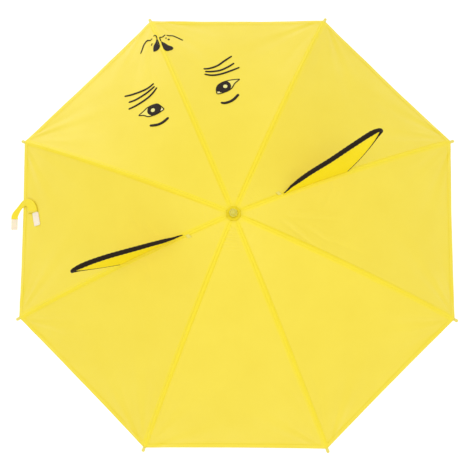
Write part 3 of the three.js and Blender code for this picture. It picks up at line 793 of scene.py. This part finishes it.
EYES = {
    "left": {
        "panel": 1,
        "upper": [(74, -206.5), (64, -210), (57.5, -212.5), (49, -213), (41, -211), (37.5, -205.5),
                  (34, -197)],
        "lower": [(74, -206.5), (66.5, -203), (61.5, -198), (56, -196), (47.5, -195), (39, -196), (34, -197)],
        "iris_upper": [(59.5, -206), (56, -212), (49, -213), (41, -211), (37.5, -205.5), (37.5, -200.5)],
        "iris_lower": [(59.5, -206), (59, -201.5), (55, -196.5), (48.5, -195), (42, -195.7), (37.5, -200.5)],
        "shine": (50.5, -204.2), "corner": (37.6, -198.2),
        "whiskers": [
            [(83.5, -251), (71.5, -247.5), (56, -245), (44.5, -245), (33.5, -248)],
            [(81, -237), (69, -235.5), (53.5, -237), (43, -239.5), (34, -242.5)],
            [(85, -225.5), (70.5, -225.5), (53.5, -228), (42, -232), (31.5, -238.5)],
        ],
        "brow": [(64, -182), (57.5, -179), (50, -177), (42, -177.5), (32.5, -180.5)],
    },
    "right": {
        "panel": 8,
        "upper": [(-90, -200.5), (-77, -204), (-66, -205), (-59.5, -204), (-54.5, -202), (-50, -196),
                  (-48, -188)],
        "lower": [(-90, -200.5), (-80, -196), (-72.5, -189.5), (-64.5, -187), (-58, -186.7),
                  (-53, -186.7), (-48, -188)],
        "iris_upper": [(-73.5, -199), (-70.5, -204), (-65.5, -205), (-59.5, -204), (-54.5, -202.3),
                       (-50, -196), (-49.5, -192.5)],
        "iris_lower": [(-73.5, -199), (-73, -193.5), (-69.5, -188.5), (-64.5, -187), (-58, -187),
                       (-53.8, -188.6), (-49.5, -192.5)],
        "shine": (-64.6, -196.2), "corner": (-51.6, -189.6),
        "whiskers": [
            [(-45, -239.5), (-54, -237), (-67, -237.5), (-81.5, -242.5), (-95, -247)],
            [(-45.5, -234), (-55, -230), (-68, -227.5), (-81, -229), (-93.5, -232.5)],
            [(-43, -229.5), (-52.5, -223.5), (-65, -220.5), (-82.5, -220.5), (-98, -221.5)],
        ],
        "brow": [(-47.5, -171.5), (-53, -168.5), (-61, -168), (-69, -170), (-78.5, -175.5)],
    },
}


def make_eye(side, eye):
    number = eye["panel"]
    start = f"print_eye_{side}"
    made = [
        patch(f"{start}_white", number, eye["upper"], eye["lower"], PALE_LAYER, ink_pale),
        patch(f"{start}_iris", number, eye["iris_upper"], eye["iris_lower"]),
        brush(f"{start}_upper_lid", number, eye["upper"], LINE),
        brush(f"{start}_lower_lid", number, eye["lower"], LINE),
        disc(f"{start}_shine", number, eye["shine"], (3.4, 3.2), GLINT_LAYER, ink_glint),
        disc(f"{start}_corner", number, eye["corner"], (1.7, 1.3), GLINT_LAYER, ink_white),
    ]
    # The pieces called print_brow are the whisker lines, and the one called print_crease is the brow.
    for n, whisker in enumerate(eye["whiskers"], 1):
        made.append(brush(f"print_brow_{side}_{n}", number, whisker, [1.3, MEDIUM, MEDIUM, MEDIUM, 1.3]))
    made.append(brush(f"print_crease_{side}", number, eye["brow"], [1.8, BOLD, BOLD, BOLD, 1.9]))
    return number, made


def make_nose():
    """The nose and mouth either side of the front seam."""
    left = [
        patch("print_nose_left", 1, [(1.6, -326), (6, -319.5), (10.5, -315.5), (13.5, -310), (15, -304)],
              [(1.6, -326), (1, -319), (1.5, -311.5), (2.5, -306), (9.5, -302.5), (15, -304)]),
        brush("print_nose_left_line", 1, [(1.6, -324.5), (1.2, -330), (3, -333.5), (5.8, -333.3)], 0.9),
        brush("print_mouth_left", 1, [(8.5, -330.5), (12.5, -329), (17, -331), (21, -329.5), (25.5, -326),
                                      (29.5, -320.5), (35, -313.5)], [0.8, 1.2, 1.3, 1.2, 0.9]),
        brush("print_whisker_left", 1, [(11.5, -321.5), (13, -319.5), (14.5, -317.5)], 0.8),
    ]
    right = [
        patch("print_nose_right", 8, [(-2, -316.5), (-6, -311.5), (-10, -304.5), (-14, -300.5),
                                      (-15.8, -296), (-13, -293)],
              [(-2, -316.5), (-0.9, -310), (-0.7, -303), (-1, -298), (-4.5, -293.3), (-13, -293)]),
        brush("print_nose_right_line", 8, [(-13, -328), (-9.5, -326), (-6.5, -324.5), (-3.2, -325.6),
                                           (-2, -321), (-2, -316)], 0.9),
        brush("print_mouth_right", 8, [(-14, -326.5), (-18, -323), (-23, -321), (-28, -315.5), (-35, -306)],
              [0.7, 1.1, 1.1, 1.0]),
        disc("print_dot_1", 8, (-11.5, -320.5), (1.3, 1.2), INK_LAYER, ink_dark),
        disc("print_dot_2", 8, (-14.5, -316), (1.8, 1.6), INK_LAYER, ink_dark),
    ]
    return {1: left, 8: right}


# ---- Ears -----------------------------------------------------------------------------------


def ear_frame(name):
    """The ear's origin, its two directions in its own plane, and its plane's normal."""
    angle = rib_angle(EAR_RIBS[name])
    radial = np.array([math.cos(angle), math.sin(angle), 0])
    start = canopy_height(EAR_INNER_RADIUS)
    run = EAR_OUTER_RADIUS - EAR_INNER_RADIUS
    fall = start - canopy_height(EAR_OUTER_RADIUS)
    length = math.hypot(run, fall)
    along = radial * run / length + np.array([0, 0, -fall / length])
    upright = radial * fall / length + np.array([0, 0, run / length])
    lean = EAR_LEAN[name]
    up = upright * math.cos(lean) + np.array([0, -math.sin(lean), 0])
    origin = radial * EAR_INNER_RADIUS + np.array([0, 0, start])
    return origin, along, up, np.cross(along, up), (run, fall, length)


def ear_place(name, x, y, thick):
    """Rest and folded places of points of an ear, given along its seam, above it and through it."""
    number = EAR_RIBS[name]
    origin, along, up, normal, (run, fall, length) = ear_frame(name)
    x, y, thick = np.broadcast_arrays(x, y, thick)
    bend, share, _ = curve_through(EAR_BEND[name], 60)
    crest = np.interp(x, *np.transpose(EAR_CREST))
    rise = (y / np.maximum(crest, 12)).clip(0, 1.1)
    side = thick + np.interp(x, bend[:, 0], bend[:, 1]) * rise**2 * EAR_AWAY[name]
    rest = origin + x[..., None] * along + y[..., None] * up + side[..., None] * normal
    radius = EAR_INNER_RADIUS + x * run / length
    lift = PITCH / RIBS / 4 + 0.18 * np.abs(thick) * np.sign(thick)
    folded = rolled(number, 0, radius, lift, path=np.maximum(y, 0.0))
    return rest, folded


def ear_foot(name, count):
    """The seam's curve under the ear, in the ear's own plane."""
    *_, (run, fall, length) = ear_frame(name)
    radius = np.linspace(EAR_INNER_RADIUS, EAR_OUTER_RADIUS, count)
    x, z = radius - EAR_INNER_RADIUS, canopy_height(radius) - canopy_height(EAR_INNER_RADIUS)
    return np.stack([(x * run - z * fall) / length, (x * fall + z * run) / length + 0.9], -1)


def make_ear(name):
    number = EAR_RIBS[name]
    rows, columns = 49, 37
    foot, crest = ear_foot(name, rows), curve_through(EAR_CREST, rows)[0]
    u, v = np.linspace(0, 1, rows)[:, None], np.linspace(0, 1, columns)[None, :]
    flat = foot[:, None, :] * (1 - v[..., None]) + crest[:, None, :] * v[..., None]
    side = curve_through(EAR_SIDE, columns)[0]
    straight = foot[-1] * (1 - v[0][:, None]) + crest[-1] * v[0][:, None]
    flat = flat + (u**4)[..., None] * (side - straight)[None]
    body = (4 * v * (1 - v)) ** 0.55 * np.clip(4 * u * (1 - u) + 0.15, 0, 1) ** 0.4
    gathers = 0.22 * np.sin(34 * u + 1.5 * np.sin(6 * v)) * (1 - v) ** 2 * body
    half = 0.35 + 1.15 * body + gathers
    fronts = [ear_place(name, flat[..., 0], flat[..., 1], s * half) for s in (1, -1)]
    points, folded = (np.concatenate([f[i].reshape(-1, 3) for f in fronts]) for i in (0, 1))
    weave = np.concatenate([np.concatenate([flat, 0 * flat[..., :1]], -1).reshape(-1, 3)] * 2)
    ear = soft_piece(f"{name}_leaf", number, points, folded, shell_faces(rows, columns), cloth_ear,
                     weave)
    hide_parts(name)

    # The binding goes along the crest, round the tip and down the outer edge.
    edge = [*EAR_CREST[:-1], (128, 78), (142, 81), (146.5, 78), (143, 70), (136, 54), (128, 38),
            (120, 24), (112, 11), (107.5, 4)]
    line, share, length = curve_through(edge, 150)
    run = heading(line)
    beyond = np.stack([-run[:, 1], run[:, 0]], -1)
    crest_end = 0.60
    wide = np.interp(share, [0, 0.04, 0.12, 0.3, crest_end, 0.66, 0.72, 1],
                     [0.6, 1.5, 3.0, 3.5, 3.6, 2.2, 1.3, 0.9])
    deep = np.interp(share, [0, 0.05, 0.14, crest_end, 0.70, 1], [0.6, 1.3, 2.3, 2.4, 1.3, 1.0])
    puckers = 1 + 0.05 * np.sin(share * length * 2 * PI / 6.5)
    around = np.linspace(0, 2 * PI, 16, endpoint=False)
    rings, rings_folded, rings_weave = [], [], []
    for angle in around:
        c, s = math.cos(angle), math.sin(angle)
        out, over = (math.copysign(abs(t) ** 0.75, t) for t in (c, s))
        spot = line + beyond * (0.5 + out * deep * puckers)[:, None]
        rest, folded = ear_place(name, spot[:, 0], spot[:, 1], over * wide * puckers)
        rings.append(rest)
        rings_folded.append(folded)
        rings_weave.append(np.stack([share * length, 0 * share + angle * 2, 0 * share], -1))
    points, folded, weave = (np.stack(r, 1) for r in (rings, rings_folded, rings_weave))
    count, n = points.shape[0], len(around)
    faces = []
    for i in range(count - 1):
        for j in range(n):
            k = (j + 1) % n
            faces.append((i * n + j, (i + 1) * n + j, (i + 1) * n + k, i * n + k))
    faces.append(tuple(range(n)))
    faces.append(tuple(reversed(range((count - 1) * n, count * n))))
    binding = soft_piece(f"{name}_binding", number, points, folded, faces, tape_black, weave)
    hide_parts(f"{name}_piping")

    # A small bar tack of clear thread holds the ear's inner end.
    radius = np.linspace(EAR_INNER_RADIUS - 6.5, EAR_INNER_RADIUS - 1.5, 6)[:, None]
    aside = np.linspace(1.2, 7.2, 5)[None, :] + 0 * radius
    width = panel_width(radius)
    tack = sheet_piece(f"{name}_tack", number, aside / width, radius + 0 * aside, CLOTH + 0.4, CLOTH + 0.8,
                       plastic_tip)
    return [ear, binding, tack]


# ---- Tie strap ------------------------------------------------------------------------------

# The band's middle line from its loop end to its hook end: out from the hem and along it.
STRAP_LINE = [(15.5, 35), (15, 29), (8.5, 19.5), (0, 11.5), (-9, 8.5), (-16, 11.5), (-19.3, 18),
              (-20.6, 25.5)]
STRAP_HALF = [6.0, 5.4, 4.4, 4.9, 5.4, 7.2, 8.8, 9.2]


def strap_place(out, along, height):
    """Rest and folded places of points given out from the hem, along it, and above the cloth. The
    strap follows the canopy up to the hem and sticks out nearly level beyond it."""
    out, along, height = np.broadcast_arrays(out, along, height)
    share = STRAP_SHARE + along / panel_width(HEM_RADIUS)
    radius, beyond = HEM_RADIUS + np.minimum(out, 0), np.maximum(out, 0)
    on = surface(STRAP_PANEL, share, radius, 0 * out)
    normal = surface(STRAP_PANEL, share, radius, 1 + 0 * out) - on
    level = smooth(0, 8, beyond)[..., None]
    up = normal * (1 - level) + np.array([0, 0, 1]) * level
    middle = rib_angle(STRAP_PANEL + 0.5)
    outwards = np.array([math.cos(middle), math.sin(middle), 0]) * math.cos(RIB_STEP / 2)
    rest = on + beyond[..., None] * outwards + up * height[..., None]
    rest[..., 2] -= 4.5 * (1 - np.exp(-beyond / 7))
    folded = rolled(STRAP_PANEL, share, np.minimum(HEM_RADIUS + out, HEM_RADIUS + 30), height + 0.5)
    return rest, folded


def strap_piece(name, spots, lift, thick, material, size):
    """A flat closed piece of the strap over a grid of places, with its size in mm for the weave."""
    sides = [strap_place(spots[..., 0], spots[..., 1], lift + s * thick) for s in (1, -1)]
    points, folded = (np.concatenate([side[i].reshape(-1, 3) for side in sides]) for i in (0, 1))
    rows, columns = spots.shape[:2]
    along, over = np.meshgrid(np.linspace(0, size[1], rows), np.linspace(0, size[0], columns), indexing="ij")
    weave = np.stack([over, along, 0 * along], -1).reshape(-1, 3)
    return soft_piece(name, STRAP_PANEL, points, folded, shell_faces(rows, columns), material,
                      np.concatenate([weave] * 2))


def make_tab(name, node, start, end, wide, lift):
    """A hook-and-loop tab with rounded corners."""
    start, end = np.array(start, float), np.array(end, float)
    length = np.linalg.norm(end - start)
    run = (end - start) / length
    t = np.linspace(0, 1, 22)
    from_end = np.minimum(t, 1 - t) * length
    half = wide / 2 - 1.0 * (1 - np.sqrt(np.clip(1 - (1 - from_end / 1.3).clip(0, 1) ** 2, 0.02, 1)))
    aside = np.array([run[1], -run[0]])
    w = np.linspace(-1, 1, 9)
    spots = start + t[:, None, None] * (end - start) + (half[:, None] * w)[..., None] * aside
    thick = 0.6 - 0.25 * np.abs(w)[None, :] ** 8
    tab = strap_piece(name, spots, lift, thick, tape_tab, (wide, length))
    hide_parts(node)
    return tab


def make_strap():
    line, share, length = curve_through(STRAP_LINE, 72)
    run = heading(line)
    aside = np.stack([run[:, 1], -run[:, 0]], -1)
    half = np.interp(share, np.linspace(0, 1, len(STRAP_HALF)), STRAP_HALF)
    columns = np.array([-1, -0.95, -0.8, -0.5, -0.2, 0.2, 0.5, 0.8, 0.95, 1])
    spots = line[:, None, :] + columns[None, :, None] * (half[:, None] * aside)[:, None, :]
    thick = (0.6 - 0.3 * np.abs(columns) ** 6)[None, :]
    twist = 0.9 * np.sin(PI * share)[:, None] * (0.6 + 0.4 * columns[None, :])
    fold = 0.45 * np.sin(3 * PI * columns[None, :] + 5 * share[:, None]) * np.sin(PI * share)[:, None] ** 2
    band = strap_piece("strap_band", spots, 1.5 + twist + fold, thick, cloth_double,
                       (2 * half.mean(), length))
    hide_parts("tie_strap")
    # The band's hook end is turned over in a narrow pale fold.
    ends = spots[-4:-1, 1:-1]
    turned = strap_piece("strap_end_fold", np.linspace(ends[0], ends[-1], 5), 2.55, 0.28, cloth_yellow,
                         (2 * half[-1], 2))
    loop = make_tab("strap_loop_tab", "tie_strap_loop_tab", (15.6, 34), (15.4, 52), 11, 1.3)
    hook = make_tab("strap_hook_tab", "tie_strap_hook_tab", (-24.8, 25), (-30, 48), 11.5, 0.75)
    return [band, turned, loop, hook]


# ---- Hard pieces that are turned or swept ---------------------------------------------------


def turned_piece(name, corners, material, body, node, place=None, steps=48, roundness=0.25):
    """A turned piece from its outline in (distance from the axis, height), with its corners rounded."""
    outline = []
    count = len(corners)
    for i, (r, z) in enumerate(corners):
        before, after = np.array(corners[i - 1]), np.array(corners[(i + 1) % count])
        here = np.array([r, z], float)
        if r == 0:
            outline.append(here)
            continue
        a, b = before - here, after - here
        cut = min(roundness, 0.4 * np.linalg.norm(a), 0.4 * np.linalg.norm(b))
        start, end = here + a / np.linalg.norm(a) * cut, here + b / np.linalg.norm(b) * cut
        for t in (0, 0.33, 0.67, 1):
            outline.append((1 - t) ** 2 * start + 2 * t * (1 - t) * here + t * t * end)
    points, rows = [], []
    for r, z in outline:
        if r < 1e-6:
            rows.append([len(points)] * steps)
            points.append((0, 0, z))
            continue
        rows.append(list(range(len(points), len(points) + steps)))
        points += [(r * math.cos(2 * PI * j / steps), r * math.sin(2 * PI * j / steps), z)
                   for j in range(steps)]
    faces = []
    closed = all(r > 1e-6 for r, _ in corners)
    pairs = list(zip(rows, rows[1:])) + ([(rows[-1], rows[0])] if closed else [])
    for a, b in pairs:
        for j in range(steps):
            k = (j + 1) % steps
            face = list(dict.fromkeys((a[j], a[k], b[k], b[j])))
            if len(face) > 2:
                faces.append(tuple(face))
    points = np.array(points, float)
    if place is not None:
        points = np.array([place @ Vector(p) for p in points])
    obj = make_object(name, points, faces, material)
    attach(obj, body)
    if node:
        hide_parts(node)
    return obj


def make_tip_caps():
    """The moulded caps on the rib ends, each with a collar and a rounded nose."""
    low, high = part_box("rib_tip_3")  # the rib along +X
    angle = math.atan2(-(canopy_height(372) - canopy_height(363)) - 1.2, 9)
    start = Vector((low.x / MM + 1.2, 0, high.z / MM - 2.9))
    corners = [(2.2, 0), (2.75, 0), (2.9, 0.8), (2.9, 2.4), (2.55, 3.0), (2.5, 9.8), (2.75, 11.4),
               (2.3, 13.4), (0.9, 14.4), (0, 14.5), (0, 8.5), (2.2, 8.5)]
    for number in range(1, RIBS + 1):
        turn = Matrix.Rotation(rib_angle(number), 4, "Z")
        tilt = Matrix.Rotation(PI / 2 + angle, 4, "Y")
        place = turn @ Matrix.Translation(start) @ tilt
        turned_piece(f"tip_cap_{number}", corners, plastic_tip, f"rib_{number}", f"rib_tip_{number}",
                     place, steps=28, roundness=0.4)


def make_crown():
    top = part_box("top_cap")[1].z / MM
    turned_piece("crown_cap", [(4.3, 522.5), (5.8, 522.5), (6.0, 523.3), (6.0, 528.4), (5.7, 530.0),
                               (5.0, 530.9), (4.5, 530.7), (4.1, 531.6), (3.3, 533.4), (1.6, top - 0.1),
                               (0, top), (0, 530.3), (4.3, 530.3)],
                 plastic_clear, "root", "top_cap", roundness=0.4)
    turned_piece("crown_washer", [(4.3, 520.6), (8.0, 520.2), (10.5, 519.9), (10.5, 520.7), (9.4, 521.8),
                                  (7.6, 522.2), (4.3, 522.2)],
                 cloth_washer, "root", "canopy_washer", roundness=0.4)


def make_handle():
    """The moulded crook: a straight grip that runs into a half turn and a short rise."""
    grip_top, radius, grip = 48, 27, 8.5
    end_rise = 14
    path = [(0, z) for z in np.linspace(grip_top, -grip_top, 40)]
    path += [(radius * (1 - math.cos(t)), -grip_top - radius * math.sin(t))
             for t in np.linspace(0, PI, 44)[1:]]
    path += [(2 * radius, -grip_top + z) for z in np.linspace(0, end_rise, 8)[1:]]
    line, share, length = curve_through(path, 190)
    run = heading(line)
    out = np.stack([-run[:, 1], run[:, 0]], -1)
    at = share * length
    size = grip * np.sqrt(np.clip(1 - (1 - at / 2.2).clip(0, 1) ** 2 * 0.35, 0, 1))
    size *= np.sqrt(np.clip(1 - (1 - (length - at) / 2.6).clip(0, 1) ** 2 * 0.45, 0, 1))
    steps = 48
    points = []
    for i in range(len(line)):
        for j in range(steps):
            a = 2 * PI * j / steps
            seam = 0.1 * math.exp(-((math.sin(a) / 0.05) ** 2))  # the mould's parting line
            r = size[i] + seam
            y, z = line[i] + out[i] * r * math.cos(a)
            points.append((r * math.sin(a), y, z))
    faces = []
    for i in range(len(line) - 1):
        for j in range(steps):
            k = (j + 1) % steps
            faces.append((i * steps + j, i * steps + k, (i + 1) * steps + k, (i + 1) * steps + j))
    # Both ends are closed by rings that draw in to a shallow dish.
    for row, centre_depth in ((0, -0.5), (len(line) - 1, -0.6)):
        centre = np.array([0, line[row][0], line[row][1]])
        rim = [row * steps + j for j in range(steps)]
        previous = rim
        for share_in, depth in ((0.93, 0.12), (0.84, 0.05), (0.5, centre_depth)):
            ring = []
            for j in rim:
                p = centre + (np.array(points[j]) - centre) * share_in
                ring.append(len(points))
                points.append((p[0], p[1], p[2] + depth))
            for j in range(steps):
                k = (j + 1) % steps
                quad = (previous[j], ring[j], ring[k], previous[k])
                faces.append(quad if row == 0 else tuple(reversed(quad)))
            previous = ring
        faces.append(tuple(previous) if row == 0 else tuple(reversed(previous)))
    obj = make_object("crook_handle", points, faces, plastic_yellow)
    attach(obj, "root")
    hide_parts("handle")


def washer_cloth():
    # The washer's deeper yellow is the cloth's own, but its colour is also set darker than the canopy's as painted
    # shade, standing for the shade that falls round the cap.
    mat = Mat("cloth_washer", srgb(232, 208, 8), 0.5, Specular_IOR_Level=0.25)
    here = mat.where()
    mat.tint(mat.spread(mat.noise(here, 130, 3), 0.4, 0.7, 0, 0.6), srgb(216, 190, 4))
    for direction in "XY":
        mat.bump(mat.wave(here, 2 * PI / (20 * 0.0004), direction), 0.00005, 0.4)
    return mat.material


cloth_washer = washer_cloth()

# ---- The part's own hard nodes --------------------------------------------------------------

NODE_MATERIALS = {
    "shaft": steel, "handle_collar": plastic_white, "top_notch": plastic_white, "notch_wire_ring": steel_wire,
    "canopy_rosette": cloth_washer, "runner": plastic_white, "runner_wire_ring": steel_wire,
    "runner_collar": plastic_yellow, "top_spring_catch": steel_wire, "bottom_spring_catch": steel_wire,
}


def dress_nodes():
    """Gives every node of the part that stays in sight its material, smooth faces and worn edges."""
    for name, obj in frame["nodes"].items():
        if obj.hide_render:
            continue
        material = NODE_MATERIALS.get(name, steel_wire if name.startswith("rivet") else steel)
        obj.data.materials.clear()
        obj.data.materials.append(material)
        obj.data.polygons.foreach_set("use_smooth", [True] * len(obj.data.polygons))
        weld = obj.modifiers.new("weld", "WELD")
        weld.merge_threshold = 0.00001
        bevel = obj.modifiers.new("edges", "BEVEL")
        bevel.width = 0.00015
        bevel.segments = 2
        bevel.limit_method = "ANGLE"
        bevel.angle_limit = math.radians(32)
        bevel.harden_normals = True
        bevel.use_clamp_overlap = True


# ---- Camera, light and floor ----------------------------------------------------------------


def make_camera():
    """Looks down on the canopy, a little from the back, with the face at the top of the picture."""
    centre = Vector((0, 0, canopy_height(TIP_RADIUS) * MM))
    elevation, azimuth, up_azimuth = (math.radians(a) for a in (82.4, 78.07, -112.24))
    distance = 1.70
    back = Vector((math.cos(elevation) * math.cos(azimuth), math.cos(elevation) * math.sin(azimuth),
                   math.sin(elevation)))
    up = Vector((math.cos(up_azimuth), math.sin(up_azimuth), 0))
    up = (up - back * up.dot(back)).normalized()
    right = up.cross(back)
    data = bpy.data.cameras.new("camera")
    data.sensor_width = 36
    data.lens = 82.0
    data.shift_x, data.shift_y = -0.0008, -0.0137
    camera = bpy.data.objects.new("camera", data)
    camera.matrix_world = Matrix.Translation(centre + back * distance) @ Matrix(
        (right, up, back)).transposed().to_4x4()
    bpy.context.scene.collection.objects.link(camera)
    bpy.context.scene.camera = camera
    return right, up, back


def area_light(name, place, target, size, power, color=(1, 1, 1)):
    data = bpy.data.lights.new(name, "AREA")
    data.shape = "DISK"
    data.size = size
    data.energy = power
    data.color = color
    light = bpy.data.objects.new(name, data)
    light.location = place
    light.rotation_mode = "QUATERNION"
    light.rotation_quaternion = (Vector(target) - Vector(place)).to_track_quat("-Z", "Y")
    bpy.context.scene.collection.objects.link(light)


WORLD_STRENGTH, FLOOR_GLOW = 0.9, 0.3
KEY_POWER, RIGHT_POWER, LEFT_POWER, FILL_POWER, LOW_POWER = 5.6, 1.4, 2.4, 1.6, 4


def make_studio(right, up, back):
    floor_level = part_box("handle")[0].z - 0.002
    floor_material = Mat("studio_floor", (0.93, 0.93, 0.93, 1), 0.9)
    here = floor_material.where()
    clouds = floor_material.spread(floor_material.noise(here, 2, 3), 0.3, 0.7, 0, 1)
    floor_material.tint(clouds, (0.92, 0.92, 0.922, 1))
    floor_material.shader.inputs["Emission Color"].default_value = (1, 1, 1, 1)
    floor_material.shader.inputs["Emission Strength"].default_value = FLOOR_GLOW
    mesh = bpy.data.meshes.new("floor")
    reach = 12
    square = ((-reach, -reach), (reach, -reach), (reach, reach), (-reach, reach))
    mesh.from_pydata([(x, y, floor_level) for x, y in square], [], [(0, 1, 2, 3)])
    mesh.materials.append(floor_material.material)
    floor = bpy.data.objects.new("floor", mesh)
    bpy.context.scene.collection.objects.link(floor)
    world = bpy.data.worlds.new("studio")
    world.use_nodes = True
    background = world.node_tree.nodes["Background"]
    background.inputs["Color"].default_value = (1, 1, 1, 1)
    background.inputs["Strength"].default_value = WORLD_STRENGTH
    bpy.context.scene.world = world
    centre = Vector((0, 0, 0.4))
    area_light("key", centre + (right * 0.15 + up * 0.1 + back) * 1.9, centre, 1.6, KEY_POWER,
               (1, 0.99, 0.97))
    area_light("sheen_right", centre + (right * 1.15 + back * 1.5), centre, 0.8, RIGHT_POWER)
    area_light("sheen_left", centre + (right * -1.15 + back * 1.5), centre, 0.8, LEFT_POWER)
    area_light("fill", centre + (up * -1.5 + back * 0.8), centre, 1.8, FILL_POWER)
    area_light("low", (0.2, -1.6, 0.25), (0, 0, 0.3), 1.4, LOW_POWER)
    bpy.context.scene.view_settings.view_transform = "Standard"


# ---- Everything together --------------------------------------------------------------------

panels = {n: make_panel(n) for n in range(1, RIBS + 1)}
trims = {n: make_trim(n) for n in range(1, RIBS + 1)}
for side, eye in EYES.items():
    number, made = make_eye(side, eye)
    trims[number] += made
for number, made in make_nose().items():
    trims[number] += made
for ear in EAR_RIBS:
    make_ear(ear)
make_strap()

for number, panel in panels.items():
    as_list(trims[number])

make_tip_caps()
make_crown()
make_handle()
dress_nodes()
make_studio(*make_camera())
